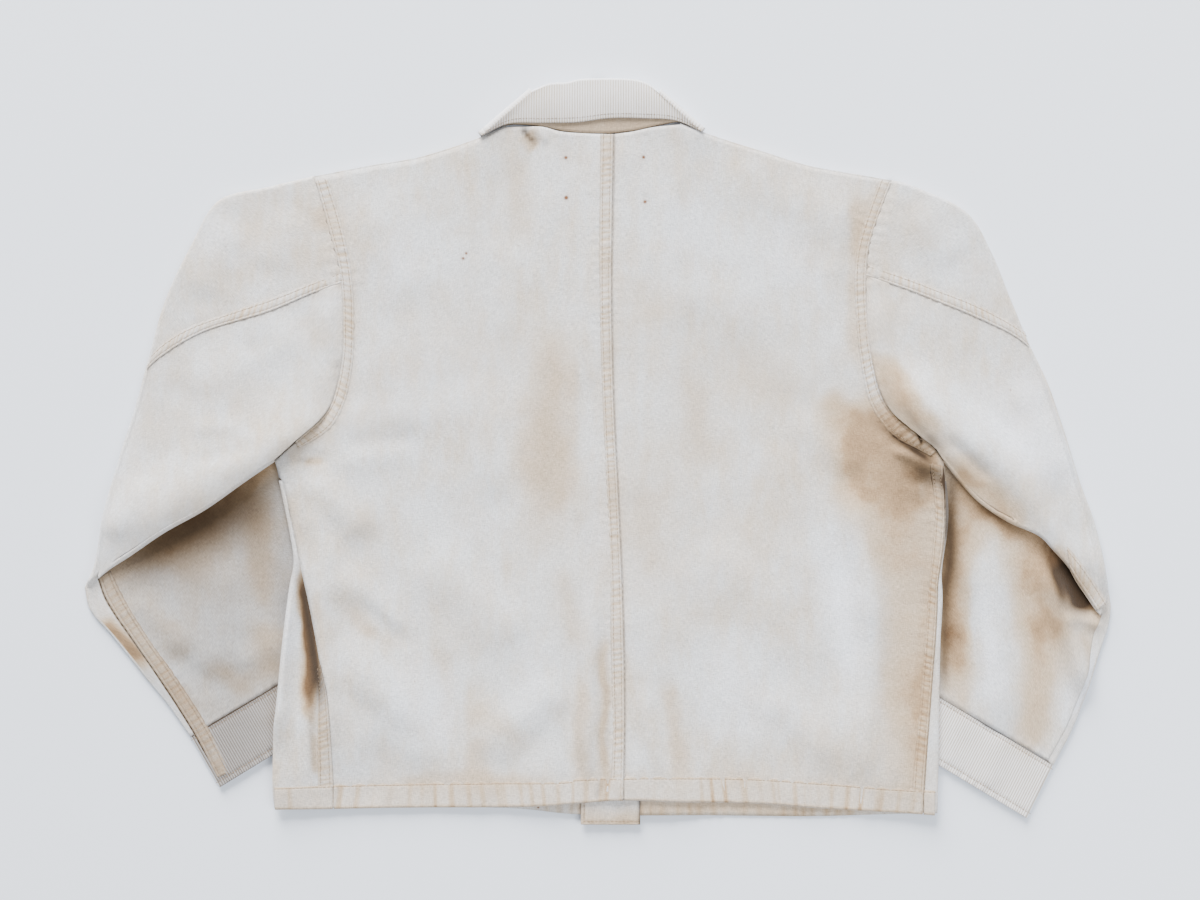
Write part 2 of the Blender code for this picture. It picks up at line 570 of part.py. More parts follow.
def under_sleeve(side):
    """The inner piece of a sleeve: from the cross seam down to the elbow's fold, back under
    itself, and out again over the forearm to the cuff."""
    sleeve = SLEEVES[side]
    _, _, cross_seam = ring_lines(sleeve, ("head",))
    _, _, elbow_seam = ring_lines(sleeve, ("elbow",))
    _, _, forearm_seam = ring_lines(sleeve, ("forearm",))
    first = through(sleeve["first_fold"], CROSS_SEAM_ROWS)
    second = through(sleeve["second_fold"], CROSS_SEAM_ROWS)
    back = second - first
    back /= np.linalg.norm(back, axis=1, keepdims=True)
    first_base = first + FOLD_STEP / 2 * back
    second_base = second - FOLD_STEP / 2 * back
    armhole = through(OUTLINES[side]["lower_armhole"], LOWER_ARMHOLE_ROWS)
    armhole[-1] = first_base[0]
    elbow_seam[-1] = first_base[-1]
    upper = raised(patch(cross_seam, first_base, armhole, elbow_seam), upper_arm_height)
    return_start = raised(first_base, FOLD_RETURN)
    return_end = raised(second_base, FOLD_RETURN)
    forearm_start = raised(second_base, FOREARM_TOP)
    inner_edge = through(sleeve["inner_edge"], FOREARM_ROWS)
    inner_edge[0] = second_base[0]
    forearm_seam[0] = second_base[-1]
    cuff = through([tuple(inner_edge[-1]), tuple(forearm_seam[-1])], CROSS_SEAM_ROWS)
    flat = patch(second_base, cuff, inner_edge, forearm_seam)
    forearm = raised(flat, FOREARM_TOP + folds(flat, FOREARM_FOLDS[side]))
    forearm[1:, 0, 2] = FLOOR_LAYER + CLOTH + SEAM_INSET
    rows = (list(upper) + turn(upper[-1], return_start, -back, reach=FOLD_STEP / 2)
            + [return_start, return_end]
            + turn(return_end, forearm_start, back, reach=FOLD_STEP / 2) + list(forearm))
    cloth("sleeve_%s_under" % side,
          [pulled_in(np.array(rows), first_row=True, last_row=True, first_column=True,
                     last_column=True)], DUCK)


def cuff(side):
    """A cuff: a flat tube of corduroy between its seam and its end."""
    sleeve = SLEEVES[side]
    rows = []
    for part in np.linspace(0, 1, 4):
        seam = np.array(sleeve["cuff_seam"])
        end = np.array(sleeve["cuff_end"])
        outer, inner = (1 - part) * seam + part * end
        out = (outer - inner) / np.linalg.norm(outer - inner)
        line = through([tuple(inner - out * -EDGE_REACH), tuple(outer - out * EDGE_REACH)], 5)
        low = raised(line, FLOOR_LAYER)
        high = raised(line[::-1], FOREARM_TOP)
        outer_turn = turn(low[-1], high[0], out)
        inner_turn = turn(high[-1], low[0], -out)
        rows.append(np.array(list(low) + outer_turn + list(high) + inner_turn))
    cloth("cuff_" + side, [pulled_in(np.array(rows), first_row=True)], CORDUROY, closed=True)


for side in SLEEVES:
    top_sleeve(side)
    under_sleeve(side)
    cuff(side)


# ---------------------------------------------------------------- collar

def collar_band(lower, offset, shortened=0.0):
    """A band round the neck as it lies: one front end, round the side, across the back, round
    the other side, and the other front end. Rows run from the lower edge to the upper one, and
    shortened is the part of that height that is left off at the top."""
    low = through(lower, COLLAR_BACK_COLUMNS)
    high = through(COLLAR_UPPER, COLLAR_BACK_COLUMNS)
    high += shortened * (low - high)
    left = through([tuple(low[0]), tuple(high[0])], COLLAR_ROWS)
    right = through([tuple(low[-1]), tuple(high[-1])], COLLAR_ROWS)
    back = patch(low, high, left, right)
    top = raised(back, COLLAR_MIDDLE + offset)
    under = raised(back, COLLAR_MIDDLE - offset)
    middle = COLLAR_BACK_COLUMNS // 2
    step = np.array([COLLAR_OPENING, 0, 0])
    front_left = [under[:, column] for column in range(middle)]
    front_left.append(under[:, middle] - step)
    front_right = [under[:, middle] + step]
    front_right += [under[:, column] for column in range(middle + 1, COLLAR_BACK_COLUMNS + 1)]
    left_turn = turn(under[:, 0], top[:, 0], outward_of(left, right), reach=offset)
    right_turn = turn(top[:, -1], under[:, -1], outward_of(right, left), reach=offset)
    columns = (front_left[::-1] + left_turn
               + [top[:, column] for column in range(COLLAR_BACK_COLUMNS + 1)]
               + right_turn + front_right[::-1])
    return np.array(columns).transpose(1, 0, 2)


def roll_over(fall):
    """The rows that take the fall round its top edge, and down inside the stand."""
    facing_offset = 2 * STAND_OFFSET - FALL_OFFSET
    inner = collar_band(STAND_LOWER, facing_offset)
    upward = np.tile((0.0, 1.0), (fall.shape[1], 1))
    rows = turn(fall[-1], inner[-1], upward, reach=FALL_OFFSET - STAND_OFFSET)
    return rows + [inner[-1], inner[-2]]


fall = collar_band(COLLAR_LOWER, FALL_OFFSET)
cloth("collar_top", [np.array(list(fall) + roll_over(fall))], CORDUROY)
cloth("collar_under", [collar_band(STAND_LOWER, STAND_OFFSET, STAND_SHORTENED)], DUCK_SHADE)
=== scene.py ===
"""A washed cotton duck brush jacket with corduroy collar and cuffs, laid on its front.

Metres, +Z up, collar towards +Y, floor at z = 0. Left and right are the wearer's. Each piece
follows the cut piece of the frame that it stands for, with its folds, puckers, seams,
stitches and stains.
"""

import math

import bpy
import numpy as np
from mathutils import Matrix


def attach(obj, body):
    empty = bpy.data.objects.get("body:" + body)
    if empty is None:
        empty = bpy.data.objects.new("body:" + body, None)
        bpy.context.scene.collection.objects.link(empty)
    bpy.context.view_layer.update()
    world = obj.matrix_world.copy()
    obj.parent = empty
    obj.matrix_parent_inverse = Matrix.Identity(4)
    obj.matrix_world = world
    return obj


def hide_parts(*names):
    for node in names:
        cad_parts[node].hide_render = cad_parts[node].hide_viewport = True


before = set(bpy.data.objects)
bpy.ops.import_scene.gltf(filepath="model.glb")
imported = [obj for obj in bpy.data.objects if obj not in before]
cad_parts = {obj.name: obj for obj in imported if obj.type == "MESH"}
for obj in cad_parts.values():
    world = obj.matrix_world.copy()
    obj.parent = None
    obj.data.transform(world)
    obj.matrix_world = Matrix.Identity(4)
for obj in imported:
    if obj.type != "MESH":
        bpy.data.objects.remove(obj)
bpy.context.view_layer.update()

# ---------------------------------------------------------------- floor, light and camera
# A pale seamless floor under soft daylight that comes from the collar's side and the left,
# seen from straight above.
VIEW_WIDTH = 1.08
LENS = 70.0
SENSOR = 36.0
VIEW_CENTRE = (0.0018, 0.0023)
CLOTH_MIDDLE = 0.008
FLOOR_PALE = (0.810, 0.850, 0.930, 1)
FLOOR_SHADE = (0.790, 0.830, 0.910, 1)
FLOOR_REACH = 6
FLOOR_DROP = 0.0004
SKYLIGHT = (0.90, 0.95, 1.0, 1)
SKYLIGHT_STRENGTH = 0.70


def new_material(name):
    """An empty material with a Principled shader: (material, node tree, shader)."""
    material = bpy.data.materials.new(name)
    material.use_nodes = True
    return material, material.node_tree, material.node_tree.nodes["Principled BSDF"]


def add_node(tree, kind, settings=(), **sockets):
    """A node with its settings, and its sockets given a value or linked to a socket."""
    made = tree.nodes.new(kind)
    for key, value in dict(settings).items():
        setattr(made, key, value)
    for key, value in sockets.items():
        socket = made.inputs[int(key[1:])] if key[0] == "i" and key[1:].isdigit() \
            else made.inputs[key.replace("_", " ")]
        if isinstance(value, bpy.types.NodeSocket):
            tree.links.new(value, socket)
        else:
            socket.default_value = value
    return made


def maths(tree, operation, first, second=0.5, third=0.5, clamp=False):
    """A Math node's result."""
    made = add_node(tree, "ShaderNodeMath", {"operation": operation, "use_clamp": clamp},
                    i0=first, i1=second, i2=third)
    return made.outputs[0]


def mixed(tree, factor, first, second, blend="MIX"):
    """A Mix node's colour."""
    made = add_node(tree, "ShaderNodeMix", {"data_type": "RGBA", "blend_type": blend},
                    i0=factor, i6=first, i7=second)
    return made.outputs[2]


camera_data = bpy.data.cameras.new("camera")
camera_data.lens = LENS
camera_data.sensor_width = SENSOR
camera = bpy.data.objects.new("camera", camera_data)
bpy.context.scene.collection.objects.link(camera)
camera.location = (*VIEW_CENTRE, CLOTH_MIDDLE + VIEW_WIDTH * LENS / SENSOR)
bpy.context.scene.camera = camera

floor_mesh = bpy.data.meshes.new("floor")
floor_mesh.from_pydata([(x * FLOOR_REACH, y * FLOOR_REACH, -FLOOR_DROP)
                        for x, y in ((-1, -1), (1, -1), (1, 1), (-1, 1))], [], [(0, 1, 2, 3)])
floor = bpy.data.objects.new("floor", floor_mesh)
bpy.context.scene.collection.objects.link(floor)
floor_paint, floor_tree, floor_shader = new_material("floor_paint")
floor_noise = add_node(floor_tree, "ShaderNodeTexNoise", Scale=7.0, Detail=3.0)
floor_colour = mixed(floor_tree, floor_noise.outputs[0], FLOOR_PALE, FLOOR_SHADE)
floor_tree.links.new(floor_colour, floor_shader.inputs["Base Color"])
floor_shader.inputs["Roughness"].default_value = 0.9
floor_mesh.materials.append(floor_paint)

LIGHT_TABLE = [
    # name, place, aims at, width, watts, colour
    ("window", (-1.60, 6.20, 3.00), (0.0, 0.0, 0.0), 4.4, 2000.0, (1.0, 0.99, 0.975)),
    ("overhead", (1.80, -0.90, 2.60), (0.3, 0.0, 0.0), 2.4, 100.0, (0.95, 0.975, 1.0)),
]
for name, place, target, width, watts, colour in LIGHT_TABLE:
    lamp = bpy.data.lights.new(name, "AREA")
    lamp.size = width
    lamp.energy = watts
    lamp.color = colour
    holder = bpy.data.objects.new(name, lamp)
    bpy.context.scene.collection.objects.link(holder)
    holder.location = place
    aim = np.array(target) - np.array(place)
    holder.rotation_euler = (math.acos(-aim[2] / np.linalg.norm(aim)), 0,
                             math.atan2(aim[0], -aim[1]) + math.pi)
world = bpy.data.worlds.new("room")
world.use_nodes = True
world.node_tree.nodes["Background"].inputs["Color"].default_value = SKYLIGHT
world.node_tree.nodes["Background"].inputs["Strength"].default_value = SKYLIGHT_STRENGTH
bpy.context.scene.world = world

# ---------------------------------------------------------------- fronts
# The two duck fronts, face down on the floor. Each comes round the side in a soft fold to the
# side seam on the back; the left one shows most, as a ridge with a deep valley beside it.
FRONT_ROWS = (112, 26, 12)
SIDE_REACH = 0.0034
FRILL_LINE = -0.326
FRILL_DEPTH = 0.012
FRILL_PERIOD = 0.0105
FRILL_HEIGHT = 0.0010
# The heights of the layers, and the places where one layer rises over another.
CLOTH = 0.0012
FLOOR_LAYER = CLOTH / 2
PLY = 0.0030
LOOSE = 0.0010
LIFT = 0.0048
LIFT_MARGIN = 0.020
LIFT_RAMP = 0.060
BUTTON_LINE = 0.011
BUTTON_RISE = 0.0024
OVERLAP_RISE = 0.0042
STAND_EDGE = -0.0153
OUTER_FRONT_EDGE = 0.0342
STAND_SEAM = 0.0380
FRONT_RAMP = 0.060
NECK_RISE = 0.0045
NECK_RAMP = 0.070


def metres(table):
    """A table in millimetres or thousandths, as metres or as parts of one."""
    if isinstance(table, dict):
        return {name: metres(part) for name, part in table.items()}
    if isinstance(table, (list, tuple)):
        return type(table)(metres(part) for part in table)
    return table / 1000


# The lines that each half of the body was cut and sewn to, in millimetres.
OUTLINES = metres({
    "left": {
        "shoulder": [(-255.6, 248), (-203.9, 257.9), (-165.3, 264.3), (-136, 272.6), (-106.2, 282.7),
                     (-82.8, 292.9)],
        "neck": [(-82.8, 292.9), (-51.3, 292.9), (-29.7, 288.3), (13.5, 286.2)],
        "front_neck": [(-82.8, 292.9), (-51.3, 290.5), (-29.7, 286), (34.2, 285)],
        "upper_armhole": [(-255.6, 248), (-242.1, 201.1), (-232.2, 166.1), (-231.3, 153)],
        "lower_armhole": [(-231.3, 153), (-229.5, 136.3), (-229.9, 87.7), (-237.6, 50.8), (-248.4, 31),
                          (-270, 11.2), (-290.7, -7.7)],
        "side_seam": [(-290.7, -7.7), (-280.8, -36.4), (-273.6, -71.6), (-267.3, -102.1),
                      (-260, -132.8), (-254.7, -158.8), (-248.8, -189.5), (-243, -215),
                      (-240.6, -241.7), (-238.5, -285.8), (-237.6, -320)],
        "side_fold": [(-290.7, -7.7), (-284.4, -36.4), (-277.2, -71.6), (-273.5, -97.7),
                      (-277.2, -121), (-280.8, -149.8), (-284.4, -182.2), (-288.9, -229.9),
                      (-291.6, -253.4), (-292.5, -300.1), (-291, -320)],
        "hem": [(-237.6, -320), (-178.2, -319), (-70.2, -318.1), (-21.6, -314.9), (22.5, -311.9)],
        "front_hem": [(-291, -320), (-178.2, -320), (-80, -321), (-21.6, -326), (34.2, -326.5)],
    },
    "right": {
        "shoulder": [(264.6, 244.3), (213, 253.2), (185.4, 258.7), (141.3, 272.4), (95.4, 287.1),
                     (73.8, 295)],
        "neck": [(73.8, 295), (49.5, 292.5), (29.7, 288.4), (13.5, 286.2)],
        "front_neck": [(73.8, 295), (60, 290), (48, 286.5), (38, 285)],
        "upper_armhole": [(264.6, 244.3), (252.9, 214.7), (245.7, 194.8), (241.2, 159.8)],
        "lower_armhole": [(241.2, 159.8), (241.7, 146.2), (243, 107.5), (248.4, 76), (254.7, 53.6),
                          (264.6, 36.4), (282.6, 20.3), (300.6, 6.7), (310.5, -7.7)],
        "side_seam": [(310.5, -7.7), (310.5, -42.7), (308.7, -78.8), (305, -110), (304, -140),
                      (302.4, -177.7), (298.8, -222.8), (294.3, -276.7), (291.6, -324.5)],
        "side_fold": [(310.5, -7.7), (314.5, -42.7), (314.1, -69.7), (309, -105.7), (309.6, -132.8),
                      (307.8, -168.7), (306.9, -213.7), (306, -279), (305.1, -324.5)],
        "hem": [(291.6, -324.5), (208.8, -320), (145.8, -315.5), (73.8, -313.6), (22.5, -311.9)],
        "front_hem": [(305.1, -324.5), (208.8, -328), (145.8, -328), (73.8, -327), (38, -327)],
    },
})
# The sleeves' lines as they lie, in millimetres; the body lies over both forearms. A ring is a
# point on the outer edge, one on the inner edge and one on the seam.
SLEEVES = metres({
    "left": {
        "head": [
            (-255.6, 248, -238.5, 48, -231.3, 153),
            (-295.2, 239, -244, 40, -260.1, 142.7),
            (-342, 226.3, -247, 33, -298.8, 126.5),
            (-367.2, 185, -251, 25.7, -347.4, 112.1),
            (-389.7, 137.3, -253, 20.3, -372.6, 100.4),
            (-405.9, 81.5, -254.5, 14, -401.4, 83.3),
        ],
        "elbow": [
            (-405.9, 81.5, -254.5, 14, -401.4, 83.3),
            (-417.6, 39.2, -256, 8.5, -413.1, 38.3),
            (-432, -6.8, -257, 2.2, -427.5, -7.7),
            (-444.6, -53.6, -257.5, -5, -439.2, -54.5),
            (-452.7, -98.6, -256.5, -20.3, -446.4, -94.1),
            (-462.6, -122, -253.8, -40.1, -450, -113),
        ],
        "forearm": [
            (-462.6, -122, -253.8, -40.1, -450, -113),
            (-457.2, -142.7, -252, -69.8, -441, -135.5),
            (-437.4, -166.1, -250.2, -98.6, -421.2, -165.2),
            (-406.8, -203.9, -248.4, -132.8, -395.1, -202.1),
            (-387, -228.2, -245.7, -159.8, -378, -226.4),
            (-367.2, -256.1, -242.6, -182.3, -361.8, -252.5),
        ],
        "first_fold": [(-290.7, -7.7), (-319.5, -27.5), (-352.8, -50.9), (-389.7, -71.6),
                       (-420.3, -92.3), (-437.4, -103.1), (-444.6, -108.5), (-450, -113)],
        "second_fold": [(-281.7, 17.6), (-341.1, 3.2), (-369.9, -25.7), (-402.3, -51.8),
                        (-426.6, -79.7), (-438, -94.1), (-442.8, -100.4), (-446, -107.5)],
        "inner_edge": [(-281.7, 17.6), (-264, -1), (-256, -20.3), (-253.8, -40.1), (-252, -69.8),
                       (-250.2, -98.6), (-248.4, -132.8), (-242.6, -182.3)],
        "cuff_seam": [(-367.2, -256.1), (-242.6, -182.3)],
        "cuff_end": [(-341.1, -302), (-216, -225.5)],
    },
    "right": {
        "head": [
            (264.6, 244.3, 256, 50, 241.2, 159.8),
            (282.6, 239.8, 264, 42.5, 276.3, 148),
            (331.2, 216.5, 270, 34.5, 306, 136.4),
            (354.6, 179.6, 274.5, 29, 334.8, 124.7),
            (370.8, 140, 277, 22, 364.5, 111.2),
            (387.9, 98.6, 279.5, 15, 383.4, 100.4),
        ],
        "elbow": [
            (387.9, 98.6, 279.5, 15, 383.4, 100.4),
            (405, 62.6, 282, 6.8, 400.5, 60.8),
            (419.4, 20.3, 284, -2.2, 414.9, 18.5),
            (433.8, -26.6, 285.5, -11.3, 429.3, -28.4),
            (449.1, -71.6, 287.3, -23, 442.8, -75.2),
            (462.6, -139.1, 289, -38.3, 454, -146.3),
        ],
        "forearm": [
            (462.6, -139.1, 289, -38.3, 454, -146.3),
            (460, -156.2, 289.8, -70, 447, -163.4),
            (453.6, -176, 289.8, -106, 442.8, -182.3),
            (445.5, -199.4, 288.9, -142, 439.2, -201.2),
            (430.2, -243.5, 288, -178, 424.8, -242.6),
            (410.4, -282.2, 287.1, -208.4, 405.9, -277.7),
        ],
        "first_fold": [(310.5, -7.7), (333.9, -35.6), (350.1, -50), (371.7, -63.5), (396, -74.3),
                       (410.4, -88.7), (423, -103.1), (434.7, -120.2), (447, -140), (452.4, -146.3)],
        "second_fold": [(313.2, 18.5), (350, -8), (368, -25.7), (384, -39), (403, -50), (417, -66),
                        (428.4, -84), (439.2, -106), (448, -130), (451.2, -140)],
        "inner_edge": [(313.2, 18.5), (298, 0), (290.7, -20.3), (289, -38.3), (289.8, -70),
                       (289.8, -106), (288.9, -142), (287.1, -208.4)],
        "cuff_seam": [(410.4, -282.2), (287.1, -208.4)],
        "cuff_end": [(386.6, -329.8), (262.8, -255.2)],
    },
})
# Soft ridges and troughs of the cloth, as pressed in by lying folded, in millimetres. Each runs
# from one point to another, bowed sideways at its middle, and dies away at both ends. A trough
# has a height below zero.
FOLD_COLUMNS = ("x0", "y0", "x1", "y1", "bow", "height", "half_width")
BODY_FOLDS = metres([
    (-280, -100, -286.8, -275, -2, 9.5, 10),
    (-258, -70, -240, -290, 3, 7.5, 11),
    (-274, -20, -200, -80, 4, 5, 15),
    (-270, -35, -225, -150, 3, 4, 12),
    (-264, -2, -240, -8, 0, -3, 5),
    (-240, -12, -160, 1, 3, 1.6, 15),
    (-235, -102, -165, -172, 2, 3.6, 13),
    (-220, -130, -165, -180, 1, -1.4, 6),
    (-235, -162, -130, -292, -6, 5, 22),
    (-230, -215, -145, -270, 0, -1.6, 11),
    (-175, -90, -60, -180, 6, 3.6, 24),
    (-115, -275, -15, -205, 4, 3.4, 18),
    (-95, -300, -28, -245, 2, -1.4, 10),
    (-4, -105, -11, -310, -1, 4.4, 8.5),
    (6, -150, 4.5, -315, 0, -2.2, 4.5),
    (-28, -150, -22, -300, 0, -2, 8),
    (-45, 100, -33, -95, 2, -2.6, 13),
    (-30, 70, -12, -90, 0, 1.8, 10),
    (-76, 295, -85, 170, 0, -2.2, 16),
    (-70, 294, -52, 275.5, -1, -3.6, 3.8),
    (-60, 297, -45, 278, 0, 2.2, 4.2),
    (-220, 230, -160, 125, 4, 3, 26),
    (-213, 150, -220, 25, -1, -1.8, 7),
    (-245, 25, -120, 33, 4, 2.2, 16),
    (-235, 5, -155, 12, 0, -1.2, 9),
    (-130, 70, -90, -50, 3, 2.6, 22),
    (225, -20, 246, -185, 4, 6.8, 13),
    (262, 15, 278, -80, 0, -3.4, 13),
    (270, -50, 274, -250, 0, -2.8, 13),
    (248, 27, 311, -14, -2, -6.2, 5),
    (260, 2, 313, -14, 2, 6.4, 6.5),
    (270, -21.5, 311, -24.5, 0, -4.6, 5.5),
    (256, -25, 296, -42, 2, 2.2, 10),
    (195, 72, 275, 22, -4, -2.6, 12),
    (175, 42, 245, -20, -6, 3, 15),
    (85, 85, 98, -35, 0, -2.2, 22),
    (57, -195, 79, -300, 0, -3.4, 10),
    (39, -205, 56, -300, 0, 2.6, 8),
    (140, -210, 220, -290, 4, 3.2, 16),
    (246, -150, 237, -305, 0, 4, 12),
    (85, -85, 175, -155, 6, 2.6, 26),
    (85, 260, 235, 200, 6, 2.8, 26),
    (45, 142, 175, 113, 4, 2.4, 26),
    (221, 240, 213, 140, 0, 2.4, 9),
])


def smooth_step(value):
    """0 below 0 and 1 above 1, with a soft start and end."""
    value = np.clip(value, 0.0, 1.0)
    return value * value * (3.0 - 2.0 * value)


def through(points, count):
    """count + 1 points on the smooth curve through the given ones."""
    points = np.array(points, float)
    ends = np.vstack([2 * points[0] - points[1], points, 2 * points[-1] - points[-2]])
    place = np.linspace(0, len(points) - 1, count + 1)
    span = np.minimum(place.astype(int), len(points) - 2)
    part = (place - span)[:, None]
    before, start, end, after = (ends[span + step] for step in range(4))
    return 0.5 * (2 * start + (end - before) * part
                  + (2 * before - 5 * start + 4 * end - after) * part ** 2
                  + (3 * start - 3 * end + after - before) * part ** 3)


def lengths_along(line):
    """The distance along a line to each of its points."""
    steps = np.linalg.norm(np.diff(line, axis=0), axis=1)
    return np.concatenate([[0.0], np.cumsum(steps)])


def patch(first_row, last_row, first_column, last_column):
    """A grid of points between four lines. Rows run from first_row to last_row."""
    down = np.linspace(0, 1, len(first_column))[:, None, None]
    across = np.linspace(0, 1, len(first_row))[None, :, None]
    ruled_down = (1 - down) * first_row[None] + down * last_row[None]
    ruled_across = (1 - across) * first_column[:, None] + across * last_column[:, None]
    corners = ((1 - down) * ((1 - across) * first_row[0] + across * first_row[-1])
               + down * ((1 - across) * last_row[0] + across * last_row[-1]))
    return ruled_down + ruled_across - corners


def distance_to_line(points, start, end):
    """How far each point is from the straight line between start and end."""
    start = np.array(start)
    along = np.array(end) - start
    part = np.clip(((points - start) @ along) / (along @ along), 0, 1)
    return np.linalg.norm(points - start - part[..., None] * along, axis=-1)


def distance_outside(points, corners):
    """How far each point is outside a closed outline, and 0 inside it."""
    nearest = np.full(points.shape[:-1], np.inf)
    inside = np.zeros(points.shape[:-1], bool)
    for start, end in zip(corners, np.roll(corners, -1, axis=0)):
        nearest = np.minimum(nearest, distance_to_line(points, start, end))
        crosses = (start[1] > points[..., 1]) != (end[1] > points[..., 1])
        rise = np.where(crosses, end[1] - start[1], 1.0)
        at = start[0] + (points[..., 1] - start[1]) / rise * (end[0] - start[0])
        inside ^= crosses & (points[..., 0] < at)
    return np.where(inside, 0.0, nearest)


def forearm_outline(sleeve):
    """The outline of the forearm and the cuff, which everything over them clears."""
    outer = [(row[0], row[1]) for row in sleeve["forearm"]]
    return np.array(sleeve["second_fold"] + outer + sleeve["cuff_end"]
                    + sleeve["inner_edge"][:0:-1])


FOREARMS = [forearm_outline(sleeve) for sleeve in SLEEVES.values()]


def lift(points):
    """The rise of the body and of the upper arms over the folded forearms."""
    away = np.minimum(*(distance_outside(points, outline) for outline in FOREARMS))
    return LIFT * (1 - smooth_step((away - LIFT_MARGIN) / LIFT_RAMP))


def folds(points, table, fade=0.28):
    """The heights of a table's folds, added up."""
    total = np.zeros(points.shape[:-1])
    for row in table:
        fold = dict(zip(FOLD_COLUMNS, row))
        start = np.array((fold["x0"], fold["y0"]))
        along = np.array((fold["x1"], fold["y1"])) - start
        length = np.linalg.norm(along)
        along /= length
        part = (points - start) @ along / length
        sideways = (points - start) @ np.array((-along[1], along[0]))
        inside = np.clip(part, 0, 1)
        sideways = sideways - fold["bow"] * 4 * inside * (1 - inside)
        beyond = (part - inside) * length
        taper = smooth_step(inside / fade) * smooth_step((1 - inside) / fade)
        away = np.hypot(sideways, beyond) / fold["half_width"]
        total += fold["height"] * taper * np.exp(-away ** 2)
    return total


def raised(points, height):
    """Points in the plane given a height: a number, an array or a function of the points."""
    values = height(points) if callable(height) else np.broadcast_to(height, points.shape[:-1])
    return np.concatenate([points, values[..., None]], axis=-1)


def turn(start, end, outward, reach, steps):
    """The points between start and end, which lie over each other, round a bulging edge."""
    middle = (start + end) / 2
    half = (start - end) / 2
    outward = np.concatenate([outward, np.zeros(outward.shape[:-1] + (1,))], axis=-1)
    reach = np.broadcast_to(reach, outward.shape[:-1])[..., None]
    rows = []
    for step in range(1, steps):
        angle = math.pi * step / steps
        rows.append(middle + half * math.cos(angle) + outward * reach * math.sin(angle))
    return rows


def unevenness(points, size, seed):
    """Smooth random values between -1 and 1, which change over about that size."""
    values = np.random.default_rng(int(10 * seed)).uniform(-1, 1, (97, 97))
    place = points[..., :2] / np.array(size) + 48.37
    cell = np.floor(place).astype(int)
    part = smooth_step(place - cell)
    total = 0
    for step_x in (0, 1):
        for step_y in (0, 1):
            weight = np.where(step_x, part[..., 0], 1 - part[..., 0])
            weight = weight * np.where(step_y, part[..., 1], 1 - part[..., 1])
            total = total + weight * values[(cell[..., 0] + step_x) % 97, (cell[..., 1] + step_y) % 97]
    return total


def slack(points, seed=41):
    """The small unevenness of washed cloth that lies loose."""
    return (0.00110 * unevenness(points, (0.033, 0.047), seed)
            + 0.00042 * unevenness(points, (0.013, 0.021), seed + 1)
            + 0.00012 * unevenness(points, (0.0061, 0.0079), seed + 2))


def settled(relief):
    """A layer's relief, kept from sinking into the layer below it."""
    floor_of_relief = -0.0012
    sunk = floor_of_relief * np.tanh(relief / floor_of_relief)
    return np.where(relief < 0, sunk, relief)


def outer_front_height(points):
    """The wearer's left front, which is outermost and lies over the buttons."""
    ramp = smooth_step((points[..., 0] - BUTTON_LINE + 0.035 + FRONT_RAMP) / FRONT_RAMP)
    return FLOOR_LAYER + lift(points) + BUTTON_RISE * ramp


def inner_front_height(points):
    """The wearer's right front and its button stand, which lie over the left front."""
    ramp = 1 - smooth_step((points[..., 0] - OUTER_FRONT_EDGE - LIFT_MARGIN) / FRONT_RAMP)
    return FLOOR_LAYER + lift(points) + OVERLAP_RISE * ramp


def back_height(points):
    """The back, over both fronts and up to the collar."""
    x = points[..., 0]
    over_left = smooth_step((x - STAND_EDGE + LIFT_MARGIN + FRONT_RAMP) / FRONT_RAMP)
    over_right = 1 - smooth_step((x - OUTER_FRONT_EDGE - LIFT_MARGIN) / FRONT_RAMP)
    neck = distance_to_line(points, (-0.070, 0.295), (0.065, 0.295))
    neck_rise = NECK_RISE * (1 - smooth_step(neck / NECK_RAMP))
    relief = folds(points, BODY_FOLDS) + slack(points)
    return (FLOOR_LAYER + PLY + lift(points) + np.maximum(OVERLAP_RISE * over_left * over_right,
            neck_rise) + LOOSE + settled(relief))


# The duck: plain-weave cotton, washed until it is soft and pale, with tan stains where dirt and
# sweat have settled, at the right armpit and down the sides. The tan in every pucker of the seams
# is partly dirt and partly painted shade. The darkest brown and the soil colour are dirt and
# painted shade in the deepest folds and hollows. The bleached colour is random pale haze and
# painted highlights.
DUCK_PALE = (0.645, 0.646, 0.655, 1)
DUCK_BLEACHED_AND_HIGHLIGHT = (0.765, 0.785, 0.850, 1)
DUCK_CREAM = (0.590, 0.505, 0.415, 1)
DUCK_TAN = (0.440, 0.300, 0.175, 1)
DUCK_BROWN = (0.170, 0.095, 0.045, 1)
SOIL_AND_SHADE = (0.036, 0.020, 0.009, 1)
STAIN_AND_SHADE_STEPS = [
    # gain, offset, colour: cream comes in first, then tan, then brown
    (1.90, 0.00, DUCK_CREAM), (1.15, -0.22, DUCK_TAN), (1.10, -0.95, DUCK_BROWN),
]
RUST = (0.17, 0.075, 0.035, 1)
RUST_HALO = (0.42, 0.26, 0.15, 1)
THREAD_PITCH = 0.00072
WEAVE_HEIGHT = 0.00005
NAP_HEIGHT = 0.00016
SLUB_HEIGHT = 0.00022
CREASE_HEIGHT = 0.0011
SPOTS = metres([
    # x, y, radius, strength: rust spots on the upper back, and specks
    (-28.9, 265.4, 2.3, 1000), (41, 265.7, 2.2, 1000),
    (-28.6, 229.2, 2.5, 1200), (42.3, 225.5, 2.2, 1000),
    (-121.5, 175, 2, 800), (-118.8, 179.5, 1.8, 900),
    (-147.6, 178.6, 0.9, 350), (-144, 183.1, 0.9, 350),
    (-143.3, 147.1, 0.7, 350), (-72, 186.3, 1.2, 300),
    (-205, -189, 0.9, 300), (-165, -206, 1.1, 350),
    (-344, 184, 0.8, 350), (-334.8, 185.4, 0.9, 350),
    (-321.3, 185, 0.8, 300), (371.7, 56.3, 1.1, 450),
    (170, -123, 0.7, 350), (120, -215, 0.7, 350),
    (-54, -320, 1.6, 900),
])


